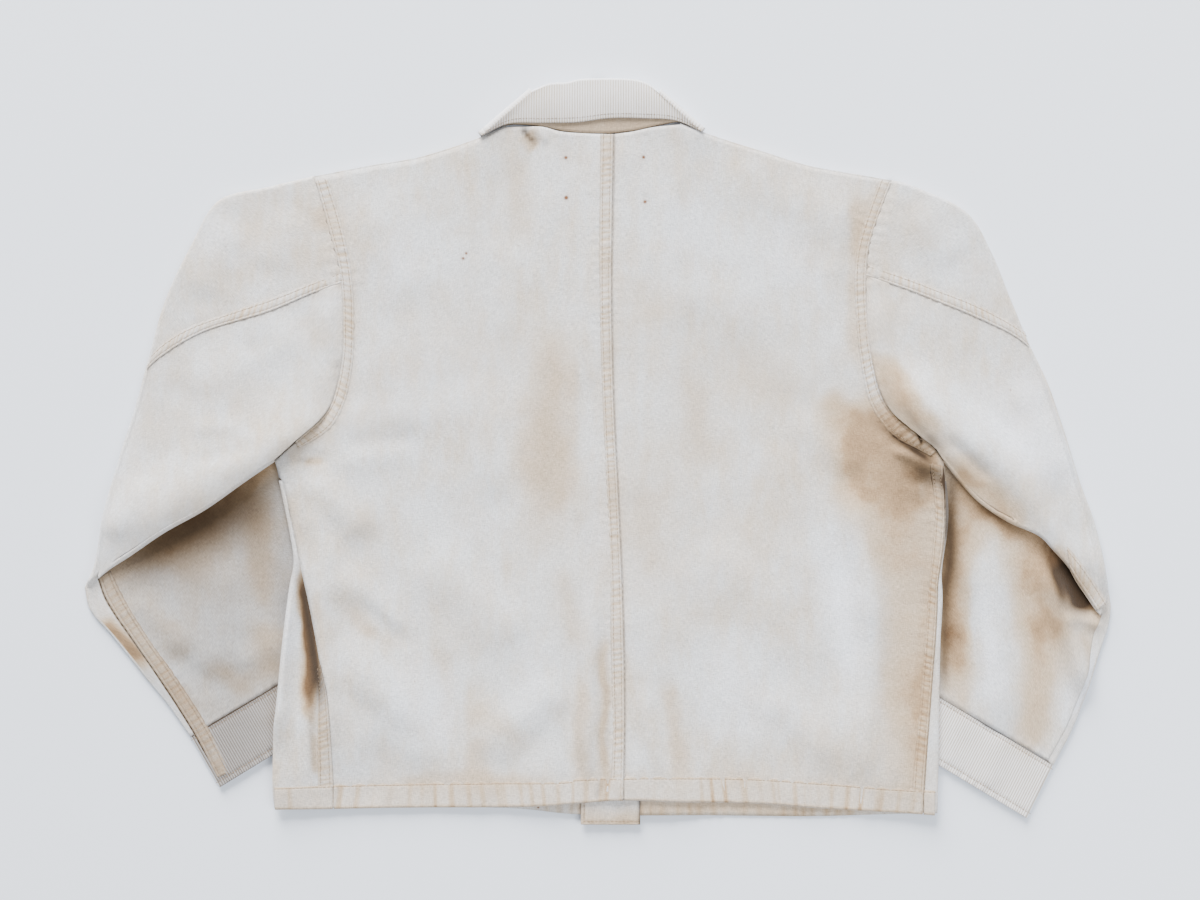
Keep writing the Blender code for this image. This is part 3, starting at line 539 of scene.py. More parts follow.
def noise(tree, place, scale, detail, roughness=0.5):
    """A Noise texture's value at a place."""
    return add_node(tree, "ShaderNodeTexNoise", Vector=place, Scale=scale, Detail=detail,
                    Roughness=roughness).outputs[0]


def stretched(tree, place, scale):
    """A place scaled along each axis."""
    return add_node(tree, "ShaderNodeMapping", Vector=place, Scale=scale).outputs[0]


def attribute(tree, name):
    """The value of a piece's attribute."""
    return add_node(tree, "ShaderNodeAttribute", {"attribute_name": name}).outputs["Fac"]


def finished(shader, finish):
    """Sets the shader's own sockets to a finish's constant values."""
    for socket, value in finish.items():
        shader.inputs[socket].default_value = value


def weave_height(tree, uv, pitch):
    """A plain weave of round threads: over and under, in turn."""
    split = add_node(tree, "ShaderNodeSeparateXYZ", i0=uv)
    rounds = [maths(tree, "MULTIPLY", split.outputs[axis], 2 * math.pi / pitch) for axis in (0, 1)]
    across, along = (maths(tree, "SINE", turns) for turns in rounds)
    return maths(tree, "MULTIPLY", across, along)


def cloth_material(name, weave, mottle=1.0, spots=()):
    """Washed cotton: stains, soil, painted shade and painted highlights from the piece's attributes,
    broken up by noise.
    """
    material, tree, shader = new_material(name)
    coordinates = add_node(tree, "ShaderNodeTexCoord").outputs
    place = coordinates["Object"]
    stain_and_painted_light = attribute(tree, "stain_and_painted_light")
    soil_and_shade = attribute(tree, "soil_and_shade")
    broad = noise(tree, place, 9.0, 4.0, 0.55)
    blotch = noise(tree, place, 38.0, 6.0, 0.62)
    fine = noise(tree, place, 420.0, 3.0, 0.7)
    hazy = noise(tree, place, 5.5, 5.0, 0.6)
    streaks = noise(tree, stretched(tree, place, (1.0, 0.35, 1.0)), 75.0, 5.0, 0.6)
    weft = noise(tree, stretched(tree, coordinates["UV"], (240.0, 1150.0, 1.0)), 1.0, 2.0)
    warp = noise(tree, stretched(tree, coordinates["UV"], (1150.0, 240.0, 1.0)), 1.0, 2.0)

    worn = maths(tree, "SUBTRACT", maths(tree, "ADD", broad, streaks), 0.86, clamp=True)
    worn = maths(tree, "MULTIPLY", worn, 2.3 * mottle, clamp=True)
    colour = mixed(tree, worn, DUCK_PALE, DUCK_CREAM)
    cool = maths(tree, "MULTIPLY_ADD", hazy, 3.2, -1.55, clamp=True)
    # Below zero the stain attribute paints the cloth paler and bluer: painted highlights on raised
    # cloth. The hazy noise adds random pale patches.
    bleached_and_highlight = maths(tree, "MULTIPLY", stain_and_painted_light, -1.0, clamp=True)
    bleached_and_highlight = maths(tree, "MULTIPLY_ADD", cool, 0.45, bleached_and_highlight, clamp=True)
    colour = mixed(tree, bleached_and_highlight, colour, DUCK_BLEACHED_AND_HIGHLIGHT)
    # Cream, tan and brown from the stain attribute: real stains, and painted shade in hollows and in the
    # valleys of puckers.
    settled = maths(tree, "MULTIPLY", stain_and_painted_light, maths(tree, "ADD", blotch, 0.50))
    for gain, offset, tone in STAIN_AND_SHADE_STEPS:
        share = maths(tree, "MULTIPLY_ADD", settled, gain, offset, clamp=True)
        colour = mixed(tree, share, colour, tone)
    slubs = maths(tree, "ADD", warp, weft)
    threads = maths(tree, "MULTIPLY_ADD", slubs, 0.66, 0.34)
    grain = maths(tree, "MULTIPLY_ADD", fine, 0.40, 0.80)
    colour = mixed(tree, 1.0, colour, maths(tree, "MULTIPLY", threads, grain), "MULTIPLY")
    # The soil colour: dirt, and painted shade in folds, hollows and grooves.
    colour = mixed(tree, maths(tree, "MULTIPLY", soil_and_shade, 1.0, clamp=True), colour, SOIL_AND_SHADE)
    for x, y, radius, strength in spots:
        flat = add_node(tree, "ShaderNodeVectorMath", {"operation": "MULTIPLY"},
                        i0=place, i1=(1.0, 1.0, 0.0)).outputs[0]
        away = add_node(tree, "ShaderNodeVectorMath", {"operation": "DISTANCE"},
                        i0=flat, i1=(x, y, 0.0)).outputs["Value"]
        core = maths(tree, "SUBTRACT", 1.0, maths(tree, "DIVIDE", away, radius), clamp=True)
        halo = maths(tree, "SUBTRACT", 1.0, maths(tree, "DIVIDE", away, 3 * radius), clamp=True)
        halo = maths(tree, "MULTIPLY", maths(tree, "MULTIPLY", halo, halo), 0.35 * strength)
        colour = mixed(tree, halo, colour, RUST_HALO)
        core = maths(tree, "MULTIPLY", core, strength * 1.5, clamp=True)
        colour = mixed(tree, core, colour, RUST)
    tree.links.new(colour, shader.inputs["Base Color"])

    woven = weave_height(tree, coordinates["UV"], THREAD_PITCH) if weave else fine
    rough = maths(tree, "MULTIPLY", slubs, SLUB_HEIGHT)
    high = maths(tree, "MULTIPLY_ADD", woven, WEAVE_HEIGHT if weave else NAP_HEIGHT, rough)
    creases = maths(tree, "MULTIPLY_ADD", blotch, CREASE_HEIGHT, high)
    bump = add_node(tree, "ShaderNodeBump", Height=creases, Strength=1.0, Distance=1.0)
    tree.links.new(bump.outputs[0], shader.inputs["Normal"])
    finished(shader, {"Roughness": 0.92, "Specular IOR Level": 0.18, "Sheen Weight": 0.12,
                      "Sheen Roughness": 0.55})
    return material


duck = cloth_material("washed_duck", weave=True, spots=SPOTS)
duck_seam = cloth_material("duck_at_seams", weave=False, mottle=0.8)

# Where a layer is stained tan, above zero, or painted lighter, below zero, as painted highlights
# on raised cloth; a few strong tan rows paint the shade of deep hollows. The other tables darken
# folds, hollows and grooves: mostly painted shade, with some dirt. The columns are those of a
# fold; the height is the strength, in thousandths.
STAINS_AND_PAINTED_LIGHT = {}
SHADE_AND_DIRT = {}
STAINS_AND_PAINTED_LIGHT["front"] = metres([
    # The first two rows paint the shade of the deep valley beside the left side seam; the third, below
    # zero, is a painted highlight on the ridge beside it.
    (-264, -90, -258, -250, 1, 2400, 6.2),
    (-261, -120, -257, -210, 0, 1600, 4),
    (-276, -90, -280, -220, 0, -400, 7),
    (-256, -240, -250, -300, 0, 500, 6),
    (-290, -312, -240, -312, 0, 400, 8),
    (-70, -318, 290, -325, 0, 600, 12),
])
SHADE_AND_DIRT["front"] = metres([
    # Mostly painted shade: the deep valley beside the left side seam, the thin shadow line below it, and
    # the strip beside the body's right edge.
    (-270, -85, -245, -245, 0, 1000, 7.6),
    (-259, -190, -256, -300, 0, 340, 4),
    (-260, -308, -255, -318, 0, 250, 2),
    (313, 10, 312.5, -100, 0, 900, 6),
])


def stained_and_lit(points, table, base=0.0):
    """How tan the cloth is drawn at each point, above 0, or how much lighter it is painted, below 0, as
    painted highlights.
    """
    flat = points[..., :2]
    drift = np.stack([0.0040 * unevenness(flat, (0.030, 0.030), 61)
                      + 0.0018 * unevenness(flat, (0.010, 0.010), 62),
                      0.0060 * unevenness(flat, (0.030, 0.040), 63)
                      + 0.0028 * unevenness(flat, (0.010, 0.014), 64)], axis=-1)
    cloudy = (1 + 0.09 * unevenness(flat, (0.022, 0.030), 65)
              + 0.06 * unevenness(flat, (0.006, 0.016), 66))
    return base + folds(flat + drift, table, fade=0.30) * cloudy


def cloth_uv(grid):
    """Metres of cloth across and along a grid."""
    across = np.linalg.norm(np.diff(grid, axis=1), axis=2)
    along = np.linalg.norm(np.diff(grid, axis=0), axis=2)
    u = np.concatenate([np.zeros((grid.shape[0], 1)), np.cumsum(across, axis=1)], axis=1)
    v = np.concatenate([np.zeros((1, grid.shape[1])), np.cumsum(along, axis=0)], axis=0)
    u -= u.mean(axis=1, keepdims=True)
    v -= v.mean(axis=0, keepdims=True)
    return np.stack([u, v], axis=-1)


def grid_object(name, grids, material, stains_and_painted_light=None, soils_and_shades=None, closed=False, wall=CLOTH,
                offset=0.0):
    """A piece from grids that share edges, with a wall, its stains and soil with their painted shade and
    highlights, and its UV map.
    """
    points = []
    faces = []
    uvs = []
    stain_and_painted_light_values = []
    soil_and_shade_values = []
    for index, grid in enumerate(grids):
        rows, columns = grid.shape[:2]
        start = sum(len(part) for part in points)
        points.append(grid.reshape(-1, 3))
        uvs.append(cloth_uv(grid).reshape(-1, 2))
        for values, given in ((stain_and_painted_light_values, stains_and_painted_light), (soil_and_shade_values, soils_and_shades)):
            layer = np.zeros((rows, columns)) if given is None else given[index]
            values.append(np.broadcast_to(layer, (rows, columns)).reshape(-1))
        numbers = start + np.arange(rows * columns).reshape(rows, columns)
        if closed:
            numbers = np.concatenate([numbers, numbers[:, :1]], axis=1)
        quads = np.stack([numbers[:-1, :-1], numbers[:-1, 1:], numbers[1:, 1:],
                          numbers[1:, :-1]], axis=-1)
        faces.append(quads.reshape(-1, 4))
    points = np.vstack(points)
    faces = np.vstack(faces)
    mesh = bpy.data.meshes.new(name)
    mesh.vertices.add(len(points))
    mesh.vertices.foreach_set("co", points.ravel().astype(np.float32))
    mesh.loops.add(faces.size)
    mesh.loops.foreach_set("vertex_index", faces.ravel().astype(np.int32))
    mesh.polygons.add(len(faces))
    mesh.polygons.foreach_set("loop_start", np.arange(0, faces.size, 4, dtype=np.int32))
    mesh.update(calc_edges=True)
    uv_layer = mesh.uv_layers.new(name="cloth")
    uv_layer.data.foreach_set("uv", np.vstack(uvs)[faces.ravel()].ravel().astype(np.float32))
    for attribute, values in (("stain_and_painted_light", stain_and_painted_light_values), ("soil_and_shade", soil_and_shade_values)):
        layer = mesh.attributes.new(attribute, "FLOAT", "POINT")
        layer.data.foreach_set("value", np.concatenate(values).astype(np.float32))
    mesh.materials.append(material)
    mesh.shade_smooth()
    piece = bpy.data.objects.new(name, mesh)
    bpy.context.scene.collection.objects.link(piece)
    if len(grids) > 1:
        weld = piece.modifiers.new("join the grids", "WELD")
        weld.merge_threshold = 0.00002
    if wall:
        solid = piece.modifiers.new("wall", "SOLIDIFY")
        solid.thickness = wall
        solid.offset = offset
    return piece


def placed(piece, node=None):
    """Rides the piece on the one body, and hides the solid it stands for."""
    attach(piece, "root")
    if node:
        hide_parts(node)
    return piece


# Felled seams: one folded edge is laid over the other piece and sewn down with two rows of
# thread, which draw the band into small even puckers. Dark lines at the edges and stitches, and
# tan in the puckers' valleys, are partly dirt and partly painted shade.
THREAD = (0.190, 0.120, 0.070, 1)
THREAD_PALE = (0.36, 0.27, 0.18, 1)
THREAD_WORN = (0.30, 0.19, 0.10, 1)
THREAD_THICKNESS = 0.00055
STITCH_LENGTH = 0.0027
STITCH_PITCH = 0.0034
FELL_RISE = 0.0009
FELL_PUCKER = 0.00024
FELL_PERIOD = 0.0058
FELL_STEP = 0.00138
FELL_SLANT = 0.0016
FELL_PROFILE = [
    # part of the way from the folded edge to the far one, height in mm, soil and painted shade, is
    # pulled by puckers
    (-0.14, -1.10, 0.00, 0.0), (-0.11, -0.60, 0.35, 0.0), (-0.06, -0.56, 0.80, 0.0),
    (-0.01, -0.50, 0.90, 0.1), (0.03, 0.05, 0.20, 0.3), (0.09, 0.25, 0.00, 0.6),
    (0.15, 0.10, 0.05, 0.9), (0.20, -0.22, 0.34, 1.0), (0.26, 0.05, 0.03, 0.9),
    (0.38, 0.22, 0.00, 0.9), (0.50, 0.28, 0.00, 1.0), (0.62, 0.20, 0.00, 1.0),
    (0.74, 0.02, 0.03, 1.0), (0.82, -0.28, 0.34, 1.0), (0.88, -0.12, 0.03, 0.9),
    (0.95, -0.30, 0.00, 0.6), (1.00, -0.52, 0.34, 0.2), (1.04, -0.56, 0.30, 0.0),
    (1.08, -1.10, 0.00, 0.0),
]
FELL_STITCHES = (0.20, 0.82)


def line_distance(points, line):
    """How far each point is from a bent line, and how far along it the nearest place is."""
    best = np.full(points.shape[:-1], np.inf)
    place = np.zeros(points.shape[:-1])
    at = lengths_along(line)
    for number in range(len(line) - 1):
        start = line[number]
        along = line[number + 1] - start
        length = np.linalg.norm(along)
        part = np.clip(((points - start) @ along) / length ** 2, 0, 1)
        away = np.linalg.norm(points - start - part[..., None] * along, axis=-1)
        nearer = away < best
        best = np.where(nearer, away, best)
        place = np.where(nearer, at[number] + part * length, place)
    return best, place


def waves(along, period, seed):
    """An uneven wave with about that period, between -1 and 1."""
    turns = 2 * math.pi * along / period
    wander = 1.3 * np.sin(along / period * 0.83 + seed) + 0.9 * np.sin(along / period * 1.91 + seed)
    return np.sin(turns + wander) * (0.72 + 0.28 * np.sin(along / period * 0.57 + 2.3 * seed))


def felled_seam(name, edge, far, height, seed, rise=FELL_RISE, pucker=FELL_PUCKER, tan=0.30,
                layer="back"):
    """A felled band between its folded edge and its far edge, and its rows of stitching."""
    edge = through(edge, 240)
    far = through(far, 240)
    count = max(8, int(lengths_along(edge)[-1] / FELL_STEP))
    edge = resampled(edge, count)
    far = resampled(far, count)
    along = lengths_along(edge)
    columns = []
    stains_and_painted_light = []
    soils_and_shades = []
    ripple = waves(along, FELL_PERIOD, seed)
    for part, raise_mm, soil_and_shade, pull in FELL_PROFILE:
        flat = edge + part * (far - edge)
        skewed = waves(along + FELL_SLANT * part, FELL_PERIOD, seed)
        lifted = height(flat) + rise + raise_mm / 1000 + pucker * pull * skewed
        columns.append(raised(flat, lifted))
        # Tan in the puckers' valleys is partly painted shade.
        stains_and_painted_light.append(tan + 0.45 * pull * np.clip(-skewed, 0, 1)
                      + 0.12 * unevenness(flat, (0.02, 0.02), seed + 5)
                      + 0.7 * stained_and_lit(flat, STAINS_AND_PAINTED_LIGHT[layer]))
        soils_and_shades.append(soil_and_shade * (0.75 + 0.25 * ripple) + folds(flat, SHADE_AND_DIRT[layer]))
    grid = np.stack(columns, axis=1)
    band = grid_object(name, [grid], duck_seam, [np.stack(stains_and_painted_light, axis=1)],
                       [np.stack(soils_and_shades, axis=1)], offset=0.0, wall=CLOTH * 0.9)
    placed(band)
    rows = []
    for part in FELL_STITCHES:
        flat = edge + part * (far - edge)
        nearest = min(FELL_PROFILE, key=lambda row: abs(row[0] - part))
        top = height(flat) + rise + nearest[1] / 1000 + CLOTH * 0.45 + 0.00010
        top += pucker * nearest[3] * waves(along + FELL_SLANT * part, FELL_PERIOD, seed)
        rows.append(raised(flat, top))
    return band, rows


def resampled(line, count):
    """A line's points again: count + 1 of them, at equal distances."""
    at = lengths_along(line)
    places = np.linspace(0, at[-1], count + 1)
    return np.stack([np.interp(places, at, line[:, axis]) for axis in range(line.shape[1])],
                    axis=1)


thread_material, thread_tree, thread_shader = new_material("thread")
thread_place = add_node(thread_tree, "ShaderNodeTexCoord").outputs["Object"]
thread_fuzz = noise(thread_tree, thread_place, 900.0, 2.0)
thread_wear = maths(thread_tree, "MULTIPLY", noise(thread_tree, thread_place, 25.0, 2.0), 0.5)
thread_colour = mixed(thread_tree, thread_fuzz, THREAD, THREAD_PALE)
thread_colour = mixed(thread_tree, thread_wear, thread_colour, THREAD_WORN)
thread_tree.links.new(thread_colour, thread_shader.inputs["Base Color"])
thread_bump = add_node(thread_tree, "ShaderNodeBump", Height=thread_fuzz, Strength=0.6,
                       Distance=0.0002)
thread_tree.links.new(thread_bump.outputs[0], thread_shader.inputs["Normal"])
thread_shader.inputs["Roughness"].default_value = 0.8


def stitch_tree():
    """Puts a stitch at every pitch along the curves: inputs Pitch, Length, Thickness."""
    tree = bpy.data.node_groups.new("rows of stitches", "GeometryNodeTree")
    face = tree.interface
    face.new_socket("Geometry", in_out="INPUT", socket_type="NodeSocketGeometry")
    sizes = {"Pitch": STITCH_PITCH, "Length": STITCH_LENGTH, "Thickness": THREAD_THICKNESS}
    for label, value in sizes.items():
        socket = face.new_socket(label, in_out="INPUT", socket_type="NodeSocketFloat")
        socket.default_value = value
    face.new_socket("Geometry", in_out="OUTPUT", socket_type="NodeSocketGeometry")
    given = add_node(tree, "NodeGroupInput")
    result = add_node(tree, "NodeGroupOutput")
    spaced = add_node(tree, "GeometryNodeCurveToPoints", {"mode": "LENGTH"},
                      Curve=given.outputs["Geometry"], Length=given.outputs["Pitch"])
    ball = add_node(tree, "GeometryNodeMeshUVSphere", Segments=6, Rings=4, Radius=0.5)
    size = add_node(tree, "ShaderNodeCombineXYZ", X=given.outputs["Thickness"],
                    Y=given.outputs["Thickness"], Z=given.outputs["Length"])
    placed_on = add_node(tree, "GeometryNodeInstanceOnPoints", Points=spaced.outputs["Points"],
                         Instance=ball.outputs["Mesh"], Rotation=spaced.outputs["Rotation"],
                         Scale=size.outputs[0])
    real = add_node(tree, "GeometryNodeRealizeInstances", Geometry=placed_on.outputs[0])
    smooth = add_node(tree, "GeometryNodeSetShadeSmooth", i0=real.outputs[0])
    painted = add_node(tree, "GeometryNodeSetMaterial", Geometry=smooth.outputs[0],
                       Material=thread_material)
    tree.links.new(painted.outputs[0], result.inputs[0])
    return tree


rows_of_stitches = stitch_tree()


def stitching(name, lines):
    """Rows of stitches along lines on the cloth, as one plain mesh."""
    curve = bpy.data.curves.new(name + "_lines", "CURVE")
    curve.dimensions = "3D"
    for line in lines:
        spline = curve.splines.new("POLY")
        spline.points.add(len(line) - 1)
        spline.points.foreach_set("co", np.c_[line, np.ones(len(line))].ravel())
    rows = bpy.data.objects.new(name + "_lines", curve)
    bpy.context.scene.collection.objects.link(rows)
    maker = rows.modifiers.new("stitches", "NODES")
    maker.node_group = rows_of_stitches
    for item in rows_of_stitches.interface.items_tree:
        if item.in_out == "INPUT" and item.name == "Pitch":
            maker[item.identifier] = STITCH_PITCH
    graph = bpy.context.evaluated_depsgraph_get()
    mesh = bpy.data.meshes.new_from_object(rows.evaluated_get(graph), depsgraph=graph)
    mesh.name = name
    bpy.data.objects.remove(rows, do_unlink=True)
    thread = bpy.data.objects.new(name, mesh)
    bpy.context.scene.collection.objects.link(thread)
    return placed(thread)


def side_line(outline, lower, rows):
    """A panel's outer line from the hem up to the shoulder, through rows of each stretch."""
    parts = [through(outline[name][::-1], count) for name, count in
             ((lower, rows[0]), ("lower_armhole", rows[1]), ("upper_armhole", rows[2]))]
    return np.vstack([parts[0], parts[1][1:], parts[2][1:]])


def front_panel(side, edge_x, height, outward):
    """A front: its layer on the floor, the shoulder's turn, and the strip round the side."""
    outline = OUTLINES[side]
    shoulder = through(outline["shoulder"], 36)
    top = np.vstack([shoulder, through(outline["front_neck"], 30)[1:]])
    hem = through(outline["front_hem"], 66)
    edge = through([(edge_x, hem[-1][1]), (edge_x, top[-1][1])], sum(FRONT_ROWS))
    outer = side_line(outline, "side_fold", FRONT_ROWS)
    below = FRONT_ROWS[0] - 6
    inset = np.ones(below) * SIDE_REACH
    outer[:below, 0] -= outward * inset
    hem[0] = outer[0]
    flat = patch(hem, top, outer, edge)
    frill = waves(flat[..., 0], FRILL_PERIOD, 4.0)
    near_hem = np.exp(-((flat[..., 1] - FRILL_LINE) / FRILL_DEPTH) ** 2)
    floor_layer = raised(flat, height(flat) + np.clip(frill * FRILL_HEIGHT * near_hem, 0, 1))

    line = floor_layer[-1, :37]
    over = raised(line[:, :2], back_height)
    upward = np.tile((0.0, 1.0), (37, 1))
    shoulder_turn = np.array([line] + turn(line, over, upward, 0.0008, 6))

    seam = through(outline["side_seam"][::-1], FRONT_ROWS[0])[:below] + (outward * 0.0003, 0)
    fold = floor_layer[:below, 0]
    across = np.linspace(0, 1, 31)[:, None, None]
    flat_strip = (1 - across) * seam[None] + across * fold[None, :, :2]
    strip = raised(flat_strip, back_height)
    sideways = np.tile((outward, 0.0), (below, 1))
    side_turn = turn(strip[-1], fold, sideways, inset, 10)
    strip = np.stack(list(strip) + side_turn + [fold], axis=1)
    grids = [floor_layer, shoulder_turn, strip]
    stains_and_painted_light = [stained_and_lit(grid, STAINS_AND_PAINTED_LIGHT["front"]) for grid in grids]
    # Tan in the frill's valleys along the hem is partly painted shade.
    stains_and_painted_light[0] = stains_and_painted_light[0] + 0.5 * np.clip(-frill, 0, 1) * near_hem
    soils_and_shades = [folds(grid[..., :2], SHADE_AND_DIRT["front"]) for grid in grids]
    return grid_object("front_" + side + "_duck", grids, duck, stains_and_painted_light, soils_and_shades)


LEFT_SIDE_BAND = metres([(-252, -320), (-252, -285.8), (-251.2, -241.7), (-250.6, -215), (-252, -196)])
LEFT_SIDE_EDGE = metres([(-238, -320), (-238.9, -285.8), (-241, -241.7), (-243.4, -215), (-248.8, -190)])
front_left = front_panel("left", OUTER_FRONT_EDGE, outer_front_height, -1)
side_band, side_rows = felled_seam("side_seam_left", LEFT_SIDE_EDGE, LEFT_SIDE_BAND,
                                   back_height, 3.1, rise=0.0006, tan=0.34,
                                   layer="front")
side_stitches = stitching("side_stitches_left", side_rows)
placed(front_left, "front_left")
front_right = front_panel("right", STAND_SEAM, inner_front_height, 1)
placed(front_right, "front_right")

# ---------------------------------------------------------------- button stand
# A straight double strip of duck down the right front's edge. Its end comes out below the hem,
# with edge stitching and a seam along its inner side.
STAND_HEM = -0.3352
STAND_TOP = 0.2850


def evenly(line, step):
    """A line's points again, at equal distances of about step."""
    line = np.array(line, float)
    at = lengths_along(line)
    places = np.linspace(0, at[-1], max(2, int(round(at[-1] / step)) + 1))
    return np.stack([np.interp(places, at, line[:, axis]) for axis in range(line.shape[1])],
                    axis=1)


def on_cloth(points, height, above=CLOTH / 2 + 0.00012):
    """A line through points, laid on top of a layer of cloth."""
    line = evenly(through(points, 160), 0.0012)
    return raised(line, height(line) + above)


STAND_RISE = 0.0005


def stand_height(points):
    """The button stand, doubled, on the right front."""
    return inner_front_height(points) + STAND_RISE


stand_line = np.concatenate([np.linspace(STAND_HEM, STAND_HEM + 0.036, 30),
                             np.linspace(STAND_HEM + 0.042, STAND_TOP, 40)])
stand_columns = np.linspace(STAND_EDGE, STAND_SEAM, 54)
stand_flat = np.stack(np.meshgrid(stand_columns, stand_line), axis=-1)
stand_end = np.exp(-((stand_flat[..., 1] - STAND_HEM) / 0.016) ** 2)
stand_ripple = 0.0007 * waves(stand_flat[..., 0], 0.0135, 1.3) * stand_end
stand_edge_distance = np.minimum(stand_flat[..., 0] - STAND_EDGE,
                                 stand_flat[..., 1] - STAND_HEM)
stand_groove = 0.0005 * np.exp(-((stand_edge_distance - 0.0028) / 0.0008) ** 2)
stand_grid = raised(stand_flat, stand_height(stand_flat) + stand_ripple - stand_groove)
# A dark line along the stand's seam, and painted shade along its stitched groove.
stand_soil_and_shade = np.exp(-((stand_flat[..., 0] - STAND_SEAM) / 0.0018) ** 2) * 0.9
stand_soil_and_shade += 0.22 * np.exp(-((stand_edge_distance - 0.0028) / 0.0006) ** 2)
stand_stain = 0.62 * stand_end + 0.18 * np.exp(-((stand_edge_distance - 0.002) / 0.002) ** 2)
button_stand = grid_object("button_stand_cloth", [stand_grid], duck, [stand_stain], [stand_soil_and_shade])
stand_stitches = stitching("button_stand_stitches", [
    on_cloth([(0.0340, STAND_HEM + 0.0028), (0.0100, STAND_HEM + 0.0028),
              (-0.0120, STAND_HEM + 0.0028)], stand_height),
    on_cloth([(-0.0125, STAND_HEM + 0.0030), (-0.0125, 0.0), (-0.0125, 0.2700)], stand_height),
])
placed(button_stand, "button_stand")

# ---------------------------------------------------------------- buttons
# Five brass-coloured pressed buttons on the closed front, hidden between its layers.
BRASS_BRIGHT = (0.42, 0.29, 0.13, 1)
BRASS_TARNISHED = (0.20, 0.125, 0.06, 1)
BUTTONS = 5
brass, brass_tree, brass_shader = new_material("button_brass")
brass_place = add_node(brass_tree, "ShaderNodeTexCoord").outputs["Object"]
tarnish = noise(brass_tree, brass_place, 160.0, 5.0)
brass_colour = mixed(brass_tree, tarnish, BRASS_BRIGHT, BRASS_TARNISHED)
brass_tree.links.new(brass_colour, brass_shader.inputs["Base Color"])
brass_bump = add_node(brass_tree, "ShaderNodeBump", Height=tarnish, Strength=0.4, Distance=0.0003)
brass_tree.links.new(brass_bump.outputs[0], brass_shader.inputs["Normal"])
finished(brass_shader, {"Metallic": 1.0, "Roughness": 0.42})
for number in range(1, BUTTONS + 1):
    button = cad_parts[f"button_{number}"]
    button.data.materials.clear()
    button.data.materials.append(brass)

# ---------------------------------------------------------------- sleeves
# Two-piece sleeves of duck. The elbow is folded back on itself and the forearm lies below it,
# tucked under the body. The seams across the upper arm and down the forearm are felled.
SLEEVE_ROWS = {"head": 66, "elbow": 72, "forearm": 76}
FOREARM_TOP = FLOOR_LAYER + PLY
FOLD_STEP = 0.0024
FOLD_RETURN = FOREARM_TOP + FOLD_STEP
FOLD_REACH = 0.0036
EDGE_REACH = 0.0015
OUTER_REACH = 0.0022
RING_COLUMNS = ("outer_x", "outer_y", "inner_x", "inner_y", "seam_x", "seam_y")
UPPER_ARM_FOLDS = metres([
    (-225, 48, -465, -86, 6, 11.2, 26),
    (-256, 120, -390, 52, 6, 4.2, 20),
    (-243, 150, -250, 40, -1, 3, 11),
    (-360, 85, -408, -30, 3, -2.6, 15),
    (-315, 24, -375, 25, 3, 1.8, 8),
    (-300, 8, -370, -8, 2, -1.8, 7),
    (-325, 215, -365, 135, 4, 3.4, 20),
    (-270, 220, -300, 160, 0, 2.2, 16),
    (-405, -20, -443, -80, 2, 3, 12),
    (-285, 105, -325, 90, 2, -1.2, 8),
    (245, 85, 415, -45, -7, 11.2, 21),
    (370, -15, 460, -125, -5, 8.5, 16.5),
    (320, 95, 395, 10, -4, -2.6, 16),
    (253, 145, 264, 50, 0, 3, 11),
    (280, 225, 330, 170, -4, 2.6, 18),
    (370, 70, 420, -35, 4, 4, 17),
    (308, 18, 360, -28, -1, -3.4, 6),
    (415, -50, 452, -125, -3, -2.2, 7),
])
FOREARM_FOLDS = metres({
    "left": [
        (-335, -85, -348, -215, 2, 4.2, 20),
        (-305, -60, -298, -170, 0, -1.4, 10),
        (-425, -125, -365, -185, 2, 3, 14),
        (-390, -175, -345, -220, 1, -1.8, 9),
        (-330, -195, -280, -170, 2, 2.2, 11),
    ],
    "right": [
        (395, -85, 444, -235, 4, 11, 11.5),
        (335, -60, 364, -275, 3, 6.2, 16),
        (376, -100, 393, -230, 0, -2, 11),
        (414, -148, 460, -158, 2, 3.8, 6),
        (312, -60, 314, -200, 0, -1.2, 9),
    ],
})
STAINS_AND_PAINTED_LIGHT["upper_arm"] = metres([
    # The first row, along the lower side of the right elbow's fold, paints its shaded side; rows below
    # zero are painted highlights on raised cloth.
    (299, 0, 393, -72, 0, 820, 13),
    (248, 100, 308, 3, -6, 900, 13),
    (286, 24, 356, -44, 0, 260, 12),
    (404, -80, 444, -137, 0, 660, 9),
    (264, 140, 256, 90, 0, 250, 12),
    (270, 235, 300, 170, 0, 240, 18),
    (310, 120, 330, 90, 0, 180, 24),
    (330, 70, 415, -35, -4, -700, 20),
    (300, 190, 350, 150, 0, -200, 20),
    (-270, 130, -240, 90, 0, 260, 16),
    (-256, 230, -248, 190, 0, 340, 10),
    (-300, 70, -330, 30, 0, 200, 24),
    (-370, 50, -400, 0, 0, 200, 20),
    (-360, 150, -320, 170, 0, 140, 24),
    (-430, -70, -340, -40, 0, 160, 12),
    (-452, -142, -403, -198, 0, 1300, 8),
    (450, -170, 420, -250, 0, -800, 16),
    (-330, 220, -360, 160, 0, -300, 26),
    (370, 100, 440, -50, 0, -600, 20),
])
SHADE_AND_DIRT["upper_arm"] = metres([
    # Mostly painted shade in the creases of the right armpit, and darker along the left forearm's outer
    # edge.
    (270, 48, 311, 0, -2, 340, 4),
    (293, 18, 308, 2, 1, 220, 6),
    (294, 8, 344, -42, 0, 160, 8),
    (-239, 60, -232, 90, 0, 250, 2.4),
    (-450, -145, -355, -280, 0, 260, 14),
])
